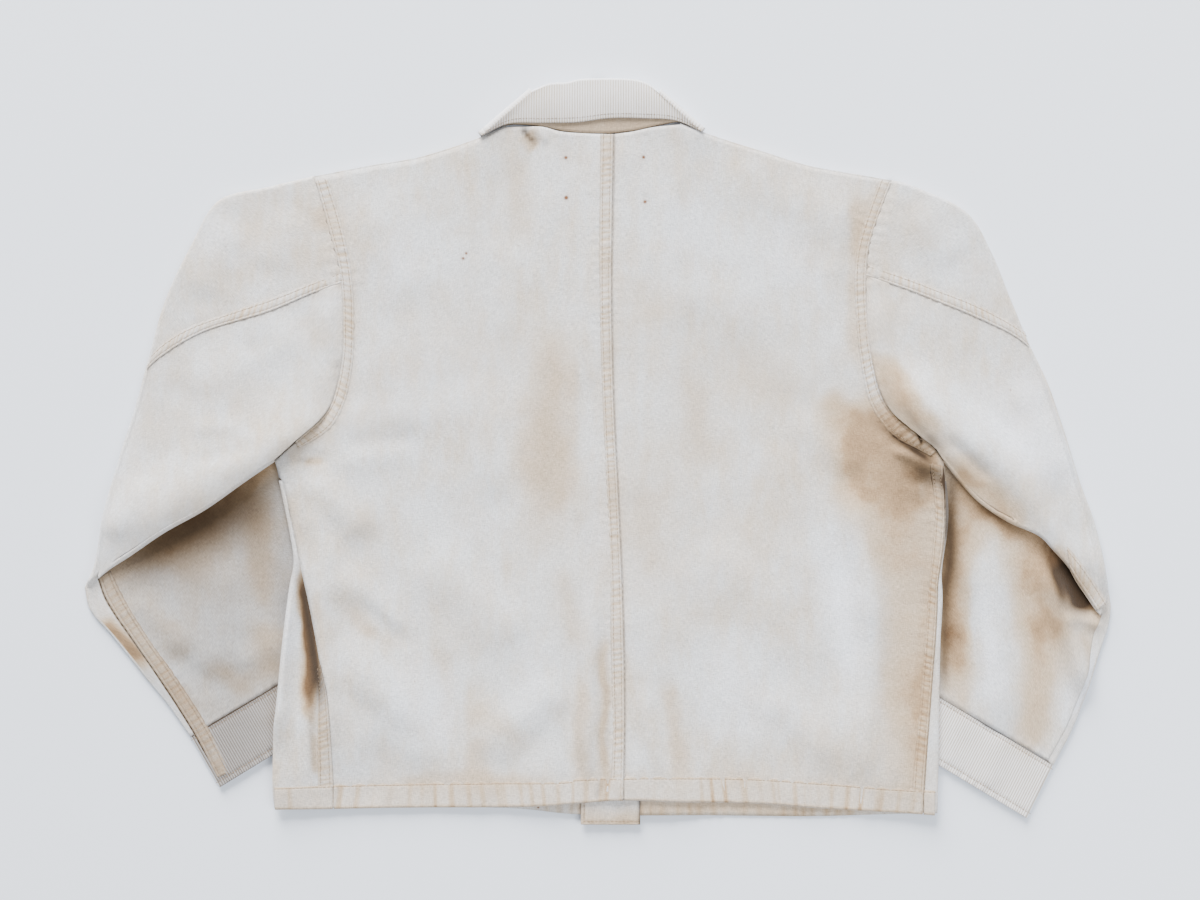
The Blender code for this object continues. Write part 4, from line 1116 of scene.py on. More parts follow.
STAINS_AND_PAINTED_LIGHT["forearm_left"] = metres([
    (-305, -35, -302, -150, 0, 520, 14),
    # This row, along the elbow's fold, is a painted shadow of the fold.
    (-290, -20, -420, -100, 0, 750, 16),
    (-330, -60, -380, -120, 0, 300, 30),
    (-305, -140, -290, -210, 0, 440, 16),
    (-360, -190, -300, -215, 0, 400, 14),
    (-390, -140, -370, -190, 0, 260, 20),
    (-380, -200, -355, -245, 0, 360, 10),
    (-275, -200, -290, -260, 0, 360, 12),
])
SHADE_AND_DIRT["forearm_left"] = metres([
    # Painted shade: the shadow of the elbow's fold across the forearm, the whole forearm and its cuff
    # drawn darker, and the shadow beside the body's edge.
    (-255, -20, -470, -125, -2, 420, 24),
    (-270, -50, -440, -128, 0, 100, 50),
    (-340, 60, -335, -430, 0, 420, 130),
    (-276, -45, -286, -170, 0, 180, 12),
])
STAINS_AND_PAINTED_LIGHT["forearm_right"] = metres([
    # The first two rows paint the shade beside the body's edge, the row from 335 the shade below the
    # elbow's fold, and the rows from 408 and 420 the hollow under that fold; the rows below zero are
    # painted highlights on the forearm's ridges.
    (322, -10, 324, -220, 0, 950, 18),
    (313, -10, 313, -220, 0, 700, 7),
    (320, -140, 338, -250, 0, 460, 14),
    (385, -60, 406, -190, 0, 860, 20),
    (406, -130, 388, -285, 0, 740, 20),
    (408, -85, 450, -143, 0, 2600, 11),
    (420, -100, 438, -140, 0, 1600, 8),
    (438, -160, 442, -210, 0, 340, 6),
    (335, -45, 385, -75, 0, 720, 10),
    (340, -80, 362, -260, 0, -900, 14),
    (430, -200, 420, -260, 0, -400, 12),
])
SHADE_AND_DIRT["forearm_right"] = metres([
    # Painted shade: the hollow under the elbow's fold, the strip beside the body's edge, and the shade
    # below the fold.
    (396, -74, 419, -150, 3, 500, 4.5),
    (406, -86, 446, -144, 2, 500, 8),
    (412, -94, 437, -150, 1, 920, 12.5),
    (430, -126, 445, -148, 1, 440, 8),
    (319, 5, 317.5, -135, 0, 800, 7),
    (313.5, -90, 312, -230, 0, 660, 5),
    (318, -22, 400, -82, 0, 340, 12),
    (320, -30, 330, -170, 0, 130, 22),
    (440, -158, 450, -162, 0, 200, 5),
])
CROSS_SEAMS = metres({
    "left": ([(-231.3, 153), (-260.1, 142.7), (-298.8, 126.5), (-347.4, 112.1), (-372.6, 100.4),
              (-396, 85), (-406, 76)],
             [(-231.8, 163.2), (-256, 153.5), (-290.5, 140), (-338, 123.5), (-368, 112.5), (-389, 100),
              (-401, 89.5)]),
    "right": ([(241.2, 159.8), (276.3, 148), (306, 136.4), (334.8, 124.7), (364.5, 111.2), (380, 102),
               (388, 95.5)],
              [(245, 169), (278, 157.5), (308, 146.2), (337, 135), (360, 123.5), (376, 114),
               (385, 107.5)]),
})
FOREARM_SEAM_LEFT = metres((
    [(-450, -113), (-441, -135.5), (-415.8, -173.3), (-395.1, -203), (-364.5, -250.7), (-343, -293)],
    [(-440, -107), (-427.5, -132.8), (-404.1, -170.6), (-383.4, -199.4), (-352.8, -247), (-331.8, -288)],
))
ELBOW_SEAM_RIGHT = metres((
    [(423.5, -103), (430.2, -114), (440.8, -129), (449.2, -141.5)],
    [(420, -85), (432, -98.6), (446, -117.5), (457.2, -135)],
))
SHOULDERS = {side: np.array(OUTLINES[side]["upper_armhole"] + OUTLINES[side]["lower_armhole"][1:])
             for side in OUTLINES}


def outward_of(line, towards):
    """The unit direction across a line, on the side away from the points in towards."""
    along = np.gradient(line, axis=0)
    across = np.stack([-along[:, 1], along[:, 0]], axis=1)
    across /= np.linalg.norm(across, axis=1, keepdims=True)
    facing = np.sign(np.sum(across * (line - towards), axis=1, keepdims=True))
    return across * facing


def puckers(points, line, period, height, reach, seed):
    """The ripples that a seam's thread draws into the cloth beside it."""
    away, along = line_distance(points, line)
    return height * waves(along, period, seed) * np.exp(-(away / reach) ** 2)


def beside(points, line, reach):
    """1 on a line, and less with the distance from it."""
    away, _ = line_distance(points, line)
    return np.exp(-(away / reach) ** 2)


def upper_arm_height(points):
    """The top layer of a sleeve, from the armhole down to the elbow's fold."""
    relief = folds(points, UPPER_ARM_FOLDS) + folds(points, BODY_FOLDS) + slack(points)
    return FLOOR_LAYER + PLY + lift(points) + LOOSE + settled(relief)


def forearm_height(side):
    """The top of a forearm, which shows below the fold."""
    def height(points):
        relief = folds(points, FOREARM_FOLDS[side]) + 0.7 * slack(points)
        return FOREARM_TOP + settled(relief)
    return height


def ring_lines(sleeve, zones):
    """The outer, inner and seam lines of a sleeve through the named zones."""
    parts = [through(sleeve[zone], SLEEVE_ROWS[zone]) for zone in zones]
    rings = dict(zip(RING_COLUMNS, np.vstack([parts[0]] + [part[1:] for part in parts[1:]]).T))
    return [np.stack([rings[line + "_x"], rings[line + "_y"]], axis=1)
            for line in ("outer", "inner", "seam")]


def upper_arm_cloth(points):
    """The upper arm with its puckers along the armhole and the cross seam."""
    side = "left" if points[..., 0].mean() < 0 else "right"
    armhole = through(SHOULDERS[side], 60)
    across = through(CROSS_SEAMS[side][1], 60)
    below = through(CROSS_SEAMS[side][0], 60)
    total = upper_arm_height(points)
    total += puckers(points, armhole, 0.0105, 0.00045, 0.012, 2.0)
    total += puckers(points, across, 0.0095, 0.00035, 0.010, 5.0)
    total += puckers(points, below, 0.0088, 0.00035, 0.009, 7.0)
    below_armhole = armhole + np.array((math.copysign(0.010, armhole[0, 0]), 0))
    total += 0.0011 * beside(points, below_armhole, 0.009)
    return total


def upper_arm_stains_and_light(points):
    """The stains of the upper arm, its painted highlights below zero, and the tan along its seams."""
    side = "left" if points[..., 0].mean() < 0 else "right"
    total = stained_and_lit(points, STAINS_AND_PAINTED_LIGHT["upper_arm"], 0.03)
    total += 0.20 * beside(points[..., :2], through(SHOULDERS[side], 60), 0.006)
    for line in CROSS_SEAMS[side]:
        total += 0.16 * beside(points[..., :2], through(line, 60), 0.005)
    return total


def forearm_cloth(side):
    """The forearm's top with its folds and puckers."""
    def height(points):
        cuff_line = through(SLEEVES[side]["cuff_seam"], 40)
        total = forearm_height(side)(points)
        total += puckers(points, cuff_line, 0.0090, 0.00035, 0.010, 6.0)
        if side == "left":
            total += puckers(points, through(FOREARM_SEAM_LEFT[1], 60), 0.0085, 0.00035, 0.009, 3.3)
        return total
    return height


def top_sleeve(side):
    """The outer piece: its underside on the floor, the outer edge's turn, and its top as far
    as the seam."""
    sleeve = SLEEVES[side]
    sign = np.sign(sleeve["head"][0][0])
    outer, inner, seam = ring_lines(sleeve, ("head", "elbow", "forearm"))
    rows = SLEEVE_ROWS["head"]
    out = outward_of(outer, inner)
    out[0] = out[1]
    reach = np.full(len(outer), OUTER_REACH)
    reach[:10] = np.linspace(EDGE_REACH, OUTER_REACH, 10)
    base = outer - reach[:, None] * out
    columns = 44
    across = np.linspace(0, 1, columns + 1)[None, :, None]
    strip = (1 - across) * base[:, None] + across * seam[:, None]
    head = through(OUTLINES[side]["upper_armhole"], columns)
    strip[0] = head
    easing = np.linspace(1, 0, rows + 1)[:, None, None] ** 2
    straight = (1 - across) * head[0] + across * head[-1]
    strip[1:rows + 1] += (easing * (head - straight[0])[None])[1:]
    height = upper_arm_cloth(strip)
    blend = smooth_step((np.arange(len(outer)) - rows - SLEEVE_ROWS["elbow"]) / 6.0 + 1)[:, None]
    height = height * (1 - blend) + blend * forearm_cloth(side)(strip)
    stains_and_painted_light = upper_arm_stains_and_light(strip)
    top = raised(strip, height)
    across = np.linspace(0, 1, 13)[None, :, None]
    underside = (1 - across) * inner[:, None] + across * base[:, None]
    lowest = inner[0]
    lower = [point for point in OUTLINES[side]["lower_armhole"][::-1]
             if point[1] > lowest[1] + 0.003]
    armhole = np.array([tuple(lowest)] + lower + OUTLINES[side]["upper_armhole"][-2::-1])
    bow = through(armhole + (0.0012 * sign, 0), 12) - underside[0]
    underside[:rows + 1] += bow[None] * easing
    underside = raised(underside, FLOOR_LAYER)
    edge = turn(underside[:, -1], top[:, 0], out, reach, 9)
    grid = np.concatenate([underside] + [row[:, None] for row in edge] + [top], axis=1)
    stain_and_painted_light = np.concatenate([np.zeros(underside.shape[:2]), np.zeros((len(outer), len(edge))),
                            stains_and_painted_light], axis=1)
    soil_and_shade = np.zeros(stain_and_painted_light.shape)
    soil_and_shade[:, -top.shape[1]:] = folds(strip, SHADE_AND_DIRT["upper_arm"])
    return grid_object("sleeve_%s_outer" % side, [grid], duck, [stain_and_painted_light], [soil_and_shade])


def under_sleeve(side):
    """The inner piece: from the cross seam down to the elbow's fold, back under itself, and out
    again over the forearm to the cuff."""
    sleeve = SLEEVES[side]
    columns = 80
    _, _, cross_seam = (resampled(line, columns) for line in ring_lines(sleeve, ("head",)))
    _, _, elbow_seam = ring_lines(sleeve, ("elbow",))
    _, _, forearm_seam = ring_lines(sleeve, ("forearm",))
    first = through(sleeve["first_fold"], columns)
    second = through(sleeve["second_fold"], columns)
    back = second - first
    back /= np.linalg.norm(back, axis=1, keepdims=True)
    ease = np.clip((columns - np.arange(columns + 1)) / 14.0, 0.15, 1)[:, None]
    first_base = first + FOLD_REACH * ease * back
    second_base = second - FOLD_STEP / 2 * back
    armhole = through(OUTLINES[side]["lower_armhole"], SLEEVE_ROWS["elbow"])
    armhole[-1] = first_base[0]
    elbow_seam[-1] = first_base[-1]
    upper = raised(patch(cross_seam, first_base, armhole, elbow_seam), upper_arm_cloth)
    return_start = raised(first_base, FOLD_RETURN)
    return_end = raised(second_base, FOLD_RETURN)
    forearm_start = raised(second_base, FOREARM_TOP)
    inner_edge = through(sleeve["inner_edge"], SLEEVE_ROWS["forearm"])
    inner_edge[0] = second_base[0]
    forearm_seam[0] = second_base[-1]
    cuff_line = through([tuple(inner_edge[-1]), tuple(forearm_seam[-1])], columns)
    flat = patch(second_base, cuff_line, inner_edge, forearm_seam)
    forearm = raised(flat, forearm_cloth(side))
    forearm[1:, 0, 2] = FLOOR_LAYER + CLOTH + 0.0003
    fold = turn(upper[-1], return_start, -back, (FOLD_REACH * ease)[:, 0], 11)
    inside = turn(return_end, forearm_start, back, FOLD_STEP / 2, 5)
    rows = list(upper) + fold + [return_start, return_end] + inside + list(forearm)
    grid = np.array(rows)
    stains_and_painted_light = upper_arm_stains_and_light(upper)
    middle = np.repeat(stains_and_painted_light[-1:], len(fold), axis=0)
    fold_stain = np.zeros((2 + len(inside), grid.shape[1]))
    forearm_stain_and_shadow = stained_and_lit(forearm, STAINS_AND_PAINTED_LIGHT["forearm_" + side], 0.06)
    # The forearm just below the elbow's fold is drawn tan: a painted shadow of the fold.
    first_line = through(sleeve["first_fold"], 60)
    forearm_stain_and_shadow += 0.55 * beside(forearm[..., :2], first_line, 0.012)
    forearm_stain_and_shadow += 0.30 * beside(forearm[..., :2], first_line, 0.032)
    stain_and_painted_light = np.concatenate([stains_and_painted_light, middle, fold_stain, forearm_stain_and_shadow])
    soil_and_shade = np.zeros(stain_and_painted_light.shape)
    soil_and_shade[:len(upper)] = folds(upper[..., :2], SHADE_AND_DIRT["upper_arm"])
    soil_and_shade[-len(forearm):] = folds(forearm[..., :2], SHADE_AND_DIRT["forearm_" + side])
    return grid_object("sleeve_%s_inner" % side, [grid], duck, [stain_and_painted_light], [soil_and_shade])


for side in SLEEVES:
    outer_piece = top_sleeve(side)
    inner_piece = under_sleeve(side)
    edge, far = CROSS_SEAMS[side]
    cross_band, cross_rows = felled_seam("cross_seam_" + side, edge, far, upper_arm_height,
                                         2.2 if side == "left" else 4.4, tan=0.22,
                                         layer="upper_arm")
    rows = list(cross_rows)
    if side == "left":
        band, more = felled_seam("forearm_seam_left", *FOREARM_SEAM_LEFT, forearm_height("left"),
                                 1.7, tan=0.50, pucker=0.00014, layer="forearm_left")
    else:
        band, more = felled_seam("elbow_seam_right", *ELBOW_SEAM_RIGHT, upper_arm_height, 6.1,
                                 tan=0.30, layer="upper_arm")
    rows += more
    stitches = stitching("sleeve_%s_stitches" % side, rows)
    placed(outer_piece, "sleeve_%s_top" % side)
    placed(inner_piece, "sleeve_%s_under" % side)

# ---------------------------------------------------------------- cuffs
# Corduroy cuffs, each a flat tube with its wales running along the sleeve, sewn on with a
# narrow turned seam and closed with a topstitched end.
WALE_PITCH = 0.0023
WALE_HEIGHT = 0.00075
CORDUROY_PALE = (0.790, 0.785, 0.800, 1)
CORDUROY_TAN = (0.52, 0.40, 0.27, 1)
corduroy, corduroy_tree, corduroy_shader = new_material("washed_corduroy")
cord_place = add_node(corduroy_tree, "ShaderNodeTexCoord").outputs["Object"]
cord_blotch = maths(corduroy_tree, "ADD", noise(corduroy_tree, cord_place, 45.0, 5.0), 0.5)
cord_nap = noise(corduroy_tree, cord_place, 1500.0, 2.0)
# The stain attribute: tan, and painted shade in the grooves between the wales.
cord_stain_and_shade = maths(corduroy_tree, "MULTIPLY", attribute(corduroy_tree, "stain_and_painted_light"), cord_blotch,
                     clamp=True)
cord_colour = mixed(corduroy_tree, cord_stain_and_shade, CORDUROY_PALE, CORDUROY_TAN)
cord_grain = maths(corduroy_tree, "MULTIPLY_ADD", cord_nap, 0.30, 0.84)
cord_colour = mixed(corduroy_tree, 1.0, cord_colour, cord_grain, "MULTIPLY")
# The soil colour: dirt, and painted shade in the grooves and under the elbow's fold.
cord_colour = mixed(corduroy_tree, attribute(corduroy_tree, "soil_and_shade"), cord_colour, SOIL_AND_SHADE)
corduroy_tree.links.new(cord_colour, corduroy_shader.inputs["Base Color"])
cord_bump = add_node(corduroy_tree, "ShaderNodeBump", Height=cord_nap, Strength=0.7,
                     Distance=0.0004)
corduroy_tree.links.new(cord_bump.outputs[0], corduroy_shader.inputs["Normal"])
finished(corduroy_shader, {"Roughness": 0.95, "Specular IOR Level": 0.12, "Sheen Weight": 0.20,
                           "Sheen Roughness": 0.45})


def wale(across):
    """0 in the groove between two wales and 1 on their crowns."""
    return (0.5 - 0.5 * np.cos(2 * math.pi * across / WALE_PITCH)) ** 0.8


def cuff(side):
    """A cuff from its seam to its end: the layer on the floor, and the top with its wales."""
    sleeve = SLEEVES[side]
    seam = np.array(sleeve["cuff_seam"])
    end = np.array(sleeve["cuff_end"])
    width = np.linalg.norm(seam[0] - seam[1])
    fine = int(width / (WALE_PITCH / 6))
    rows = []
    stains_and_painted_light = []
    soils_and_shades = []
    for part in CUFF_PARTS:
        outer, inner = (1 - part) * seam + part * end
        out = (outer - inner) / np.linalg.norm(outer - inner)
        low = through([tuple(inner + out * EDGE_REACH), tuple(outer - out * EDGE_REACH)], 12)
        high = resampled(low[::-1], fine)
        across = np.linspace(0, 1, fine + 1) * width
        hem_groove = math.exp(-((part - 0.90) / 0.02) ** 2) + math.exp(-((part - 0.06) / 0.02) ** 2)
        near_end = math.exp(-((1 - part) / 0.10) ** 2)
        top = FOREARM_TOP + WALE_HEIGHT * wale(across) * (1 - 0.5 * min(1, hem_groove))
        top = top + folds(high, CUFF_FOLDS[side]) - 0.0004 * hem_groove
        top = top + 0.0006 * near_end * waves(across, 0.011, 2.0)
        high = raised(high, top)
        low = raised(low, FLOOR_LAYER)
        outer_turn = turn(low[-1], high[0], out, EDGE_REACH, 5)
        inner_turn = turn(high[-1], low[0], -out, EDGE_REACH, 5)
        row = np.array(list(low) + outer_turn + list(high) + inner_turn)
        rows.append(row)
        groove = 1 - wale(across)
        # The grooves between the wales are drawn tan, as painted shade.
        stain_and_painted_light = 0.05 + 0.85 * groove + folds(high[:, :2], STAINS_AND_PAINTED_LIGHT["forearm_" + side])
        full = np.zeros(len(row))
        full[len(low) + 4:len(low) + 4 + len(high)] = stain_and_painted_light
        stains_and_painted_light.append(full)
        soil_and_shade = np.zeros(len(row))
        # Darker at the seam, in the grooves as painted shade, and with the forearm's painted shade.
        soil_and_shade[len(low) + 4:len(low) + 4 + len(high)] = (
            0.55 * math.exp(-(part / 0.012) ** 2) + 0.16 * groove
            + 1.5 * folds(high[:, :2], SHADE_AND_DIRT["forearm_" + side]))
        soils_and_shades.append(soil_and_shade)
    piece = grid_object("cuff_%s_corduroy" % side, [np.array(rows)], corduroy,
                        [np.array(stains_and_painted_light)], [np.array(soils_and_shades)], closed=True, wall=CLOTH * 0.8)
    end_line = through(0.10 * seam + 0.90 * end, 20)
    seam_line = through(0.94 * seam + 0.06 * end, 20)
    lines = [raised(line, FOREARM_TOP + 0.0010 + folds(line, CUFF_FOLDS[side]))
             for line in (seam_line, end_line)]
    thread = stitching("cuff_%s_stitches" % side, lines)
    placed(piece, "cuff_" + side)


CUFF_PARTS = np.concatenate([np.linspace(0, 0.12, 6), np.linspace(0.20, 0.76, 7),
                             np.linspace(0.82, 1, 9)])
CUFF_FOLDS = metres({
    "left": [(-300, -225, -285, -270, 0, 1.2, 12)],
    "right": [(364, -245, 350, -310, 0, 2, 11),
              (325, -230, 318, -290, 0, 1.2, 11)],
})
for side in SLEEVES:
    cuff(side)

# ---------------------------------------------------------------- back
# Two halves of duck, joined by a felled seam down the middle, with felled armholes and a hem
# turned up by an inch and topstitched. Washing has puckered every seam.
BACK_ROWS = (132, 60, 26)
CENTRE_BACK = metres([(22.5, -311.9), (23.4, -222.8), (21.6, -132.8), (18, -42.7), (13.5, 47.3),
                      (11.7, 137.2), (12.1, 197.6), (13.5, 286.2)])
STAINS_AND_PAINTED_LIGHT["back"] = metres([
    # the right armpit: a deep arc, and the drift of tan below it down the side
    (195, 56, 256, 25, -6, 500, 19),
    (224, 56, 240, -80, 3, 520, 26),
    (250, 54, 266, -130, 3, 480, 28),
    (246, 43, 312, -15, -4, 800, 18),
    (262, 0, 302, -60, 0, 600, 24),
    (284, 25, 288, -350, 0, 460, 24),
    (266, -30, 270, -310, 0, 220, 28),
    (270, -130, 276.3, -335, 0, 180, 23),
    (230, 30, 236, -60, 0, 340, 20),
    # Rows below zero, here and further down, are painted highlights on raised cloth.
    (205, -60, 233, -220, 0, -750, 18),
    (238.5, 245, 226.8, 160, 0, 520, 8),
    (226, 170, 230, 70, 0, 260, 8),
    (145, 110, 160, 30, 0, 160, 30),
    (85, 95, 99, -35, 0, 340, 24),
    (30, 170, 60, 110, 0, 220, 18),
    (40, -20, 50, -130, 0, 240, 16),
    (56, -185, 78, -305, 0, 420, 10),
    (115, -55, 150, -115, 0, 180, 30),
    (110, -150, 150, -280, 0, -500, 34),
    (160, 220, 170, 140, 0, -400, 34),
    (70, 240, 90, 170, 0, -300, 24),
    # the left half: streaks beside the middle seam, and a shoulder and hip drawn lighter, below zero, as
    # painted highlights
    (-42, 150, -46, -110, 0, 460, 20),
    (-150, 175, -120, 90, 0, 120, 30),
    (-140, -90, -115, -190, 0, 160, 26),
    (-135, -225, -45, -270, 4, 260, 13),
    (-230, 25, -150, 20, 0, 140, 14),
    (50, 40, 65, -60, 0, 180, 20),
    (150, -30, 190, -90, 0, 140, 26),
    (85, -120, 135, -210, 0, 120, 20),
    (185, -230, 230, -300, 0, 240, 16),
    (95, -250, 150, -300, 0, 180, 16),
    (-62, 60, -70, -60, 0, 200, 18),
    (-20, 100, -21, -60, 0, 220, 9),
    (-70, 175, -76, 295, 0, 300, 16),
    (-56, 275, -64, 292, 0, 750, 7),
    (-30, 30, -33, -60, 0, 200, 10),
    (-38, -90, -16, -190, 0, 240, 14),
    (6, -150, 5, -315, 0, 660, 5.2),
    (-17, -190, -14, -305, 0, 420, 10),
    (-65, -160, -55, -270, 0, -350, 20),
    (-170, -10, -90, -100, 0, -200, 34),
    (-195, -220, -120, -235, 0, -550, 30),
    (-190, 225, -150, 140, 0, -350, 30),
    (-200, 60, -150, -20, 0, -150, 30),
    (-190, -295, -30, -298, 0, 280, 12),
    (-115, -245, -105, -300, 0, 340, 14),
    (-200, -255, -180, -295, 0, 180, 12),
    (-230, -125, -198, -180, 0, 300, 10),
    (-220, -40, -195, -90, 0, 240, 12),
    (-210, -155, -170, -190, 0, 200, 8),
    (-245, -210, -226, -275, 0, 200, 12),
    (-270, -8, -244, -11, 0, 550, 5.5),
    (-262, 8, -243, 48, 0, 460, 8),
    (-279, -28, -265, -100, 0, 340, 7),
    (-256, -110, -244, -210, 0, 300, 5),
    (140, 260, 240, 238, 0, 160, 12),
    (60, 245, 75, 285, 0, 160, 12),
])
SHADE_AND_DIRT["back"] = metres([
    # Mostly painted shade in the creases and folds of the right armpit and side, the neck crease and
    # under the collar's left end; some darker lines along seams.
    (238, 48, 311, -14, 4, 300, 15),
    (270, 8, 306, -42, 0, 320, 18),
    (254, 24, 306, -12, -1, 620, 3.2),
    (278, -16, 325, -30, 0, 520, 10),
    (312, -14, 314, -60, 0, 460, 5),
    (284, 23, 291.5, 5, 1, 800, 1.6),
    (299, 9, 306, 0, 1, 800, 1.8),
    (290, -10, 293, -160, 0, 100, 18),
    (240, 30, 260, -40, 0, 50, 22),
    (-70, 293.5, -53.5, 277, -1, 900, 2.6),
    (-70, 293, -60, 290, 0, 250, 3),
    (5, -293, -3, -312, 0, 300, 3.4),
    (7.5, -170, 7, -305, 0, 160, 3.4),
    (-274, -6, -254, -7.5, 0, 360, 2.6),
    (-223, -15, -205, -90, 0, 60, 15),
    (-44, 60, -47, -60, 0, 70, 12),
])
CENTRE_FAR = metres([(11.7, -311.9), (13.9, -254.3), (13.1, -212), (12, -154.4), (11.4, -96.8),
                     (6, 20), (3.2, 92.3), (2.1, 145.4), (2.1, 211.1), (3.1, 286.2)])
ARMHOLE_BANDS = metres({
    "left": ([(-254, 244), (-242.1, 201.1), (-233.5, 169), (-230.6, 146), (-229.5, 125),
              (-229.9, 87.7), (-237.2, 50.8), (-248.4, 31), (-260, 20.5), (-272, 9.5)],
             [(-244, 246), (-232, 208), (-224.5, 173), (-221.2, 145), (-220.5, 123), (-221.1, 86),
              (-227.5, 49), (-238.5, 25.5), (-253.5, 13), (-269, 4.5)]),
    "right": ([(264, 243), (252.9, 214.7), (244.5, 188), (241.4, 159), (241.7, 130), (245.2, 93),
               (254.7, 53.6), (270, 31), (282.6, 20.3), (295, 11), (304, 2)],
              [(254, 245), (243.2, 215), (234.5, 185), (231.8, 160), (232.7, 129), (236.3, 88),
               (244.5, 48), (259, 23), (272, 11), (286, 4), (299, -3)]),
})
RIGHT_SIDE_BAND = metres((
    [(309.5, -12), (311.2, -50), (309.4, -85), (305.2, -115), (304, -145), (302, -177.7),
     (298.6, -222.8), (294.3, -276.7), (291.6, -323.5)],
    [(298.5, -10), (303.5, -50), (301.5, -85), (298.5, -115), (296.3, -145), (294, -177.7),
     (290.5, -222.8), (285.2, -276.7), (281.8, -322.5)],
))
HEM_STITCH = metres([(-290.7, -301.1), (-237.6, -299.5), (-130, -297.5), (-34.2, -296.2),
                     (-20.7, -293.9), (0, -293), (23.4, -292.6), (54.9, -292.1), (145.8, -293.9),
                     (235.8, -300.2), (270, -302.5), (306.5, -304.2)])


def back_cloth(points):
    """The back with the ripples along its seams."""
    flat = points[..., :2]
    total = back_height(points)
    ridge = through(CENTRE_BACK, 60)
    far = through(CENTRE_FAR, 60)
    total += puckers(flat, far, 0.0078, 0.00042, 0.0095, 1.0)
    total += puckers(flat, ridge, 0.0078, 0.00038, 0.0085, 3.0)
    total -= 0.0008 * beside(flat, ridge + (0.0030, 0), 0.0030)
    for side in ARMHOLE_BANDS:
        total += puckers(flat, through(ARMHOLE_BANDS[side][1], 60), 0.0090, 0.00045, 0.0100, 2.5)
    total += puckers(flat, through(RIGHT_SIDE_BAND[1], 60), 0.0080, 0.00045, 0.0090, 4.5)
    total += puckers(flat, through(HEM_STITCH, 80), 0.0125, 0.00075, 0.0140, 5.5)
    total += 0.00055 * unevenness(flat, (0.009, 0.070), 77) * beside(flat, ridge - (0.02, 0), 0.05)
    return total


def back_stains_and_light(points):
    """Tan along every seam and hem, and in the listed bands."""
    flat = points[..., :2]
    # Bands below zero are painted highlights.
    total = stained_and_lit(points, STAINS_AND_PAINTED_LIGHT["back"], 0.03)
    total += 0.24 * beside(flat, through(CENTRE_BACK, 60) - (0.002, 0), 0.0070)
    for side in ARMHOLE_BANDS:
        total += 0.22 * beside(flat, through(ARMHOLE_BANDS[side][1], 60), 0.0060)
    total += 0.28 * beside(flat, through(RIGHT_SIDE_BAND[1], 60), 0.0080)
    total += 0.20 * beside(flat, through(HEM_STITCH, 80), 0.0070)
    total += 0.10 * np.clip(unevenness(flat, (0.05, 0.07), 91), 0, 1)
    return total


def back_panel(side):
    """Half of the back, from its side seam and armhole to the centre-back seam."""
    outline = OUTLINES[side]
    shoulder = through(outline["shoulder"], 66)
    top = np.vstack([shoulder, through(outline["neck"], 40)[1:]])
    hem = through(outline["hem"], 106)
    flat = patch(hem, top, side_line(outline, "side_seam", BACK_ROWS),
                 through(CENTRE_BACK, sum(BACK_ROWS)))
    grid = raised(flat, back_cloth)
    soil_and_shade = folds(flat, SHADE_AND_DIRT["back"])
    return grid_object("back_%s_half" % side, [grid], duck, [back_stains_and_light(grid)], [soil_and_shade])


def hem_band(name, start, stop, seed):
    """The turned-up hem between two places along the hem: puckered, with its topstitching."""
    stitched = evenly(through(HEM_STITCH, 400), 0.0012)
    stitched = stitched[(stitched[:, 0] >= start) & (stitched[:, 0] <= stop)]
    bottom_points = ([(-0.2925, -0.3203)] + OUTLINES["left"]["hem"]
                     + OUTLINES["right"]["hem"][-2::-1] + [(0.3065, -0.3262)])
    bottom = evenly(through(bottom_points, 400), 0.0012)
    along = lengths_along(stitched)
    columns = []
    stains_and_painted_light = []
    soils_and_shades = []
    for part in HEM_PARTS:
        low_y = np.interp(stitched[:, 0], bottom[:, 0], bottom[:, 1])
        low = np.stack([stitched[:, 0], low_y], axis=1)
        flat = stitched + part * (low - stitched)
        slant = along + 0.003 * part * np.sin(along / 0.041 + seed)
        pull = smooth_step(min(part, 1.0) * 6 + 0.25)
        uneven = 0.6 + 0.8 * unevenness(flat, (0.031, 0.2), seed + 9)
        ripple = (waves(slant, 0.0138, seed) + 0.5 * waves(slant, 0.0078, seed + 2)) * uneven
        seam_bump = sum(np.exp(-((flat[:, 0] - x) / 0.006) ** 2) for x in HEM_CROSSINGS)
        high = back_height(flat) + 0.0007 + 0.00046 * ripple * pull + 0.0005 * seam_bump
        if part <= 0.0:
            high -= 0.0009
        if 0.02 < part < 0.10:
            high -= 0.00035
        if part > 1.0:
            high -= 0.0009 + (part - 1.0) * 0.02
        columns.append(raised(flat, high))
        # Tan in the puckers' valleys is partly painted shade.
        stains_and_painted_light.append(0.30 + 0.7 * stained_and_lit(flat, STAINS_AND_PAINTED_LIGHT["back"])
                      + 0.60 * np.clip(-ripple, 0, 1) * pull
                      + 0.30 * math.exp(-((part - 0.05) / 0.05) ** 2)
                      + 0.22 * math.exp(-((part - 0.98) / 0.05) ** 2))
        soils_and_shades.append(HEM_DARK_LINES.get(part, 0.0) + folds(flat, SHADE_AND_DIRT["back"]))
    grid = np.stack(columns, axis=1)
    band = grid_object(name, [grid], duck_seam, [np.stack(stains_and_painted_light, axis=1)],
                       [np.stack(soils_and_shades, axis=1)])
    line = grid[:, 3] + (0, 0, CLOTH / 2 + 0.00015)
    return placed(band), line


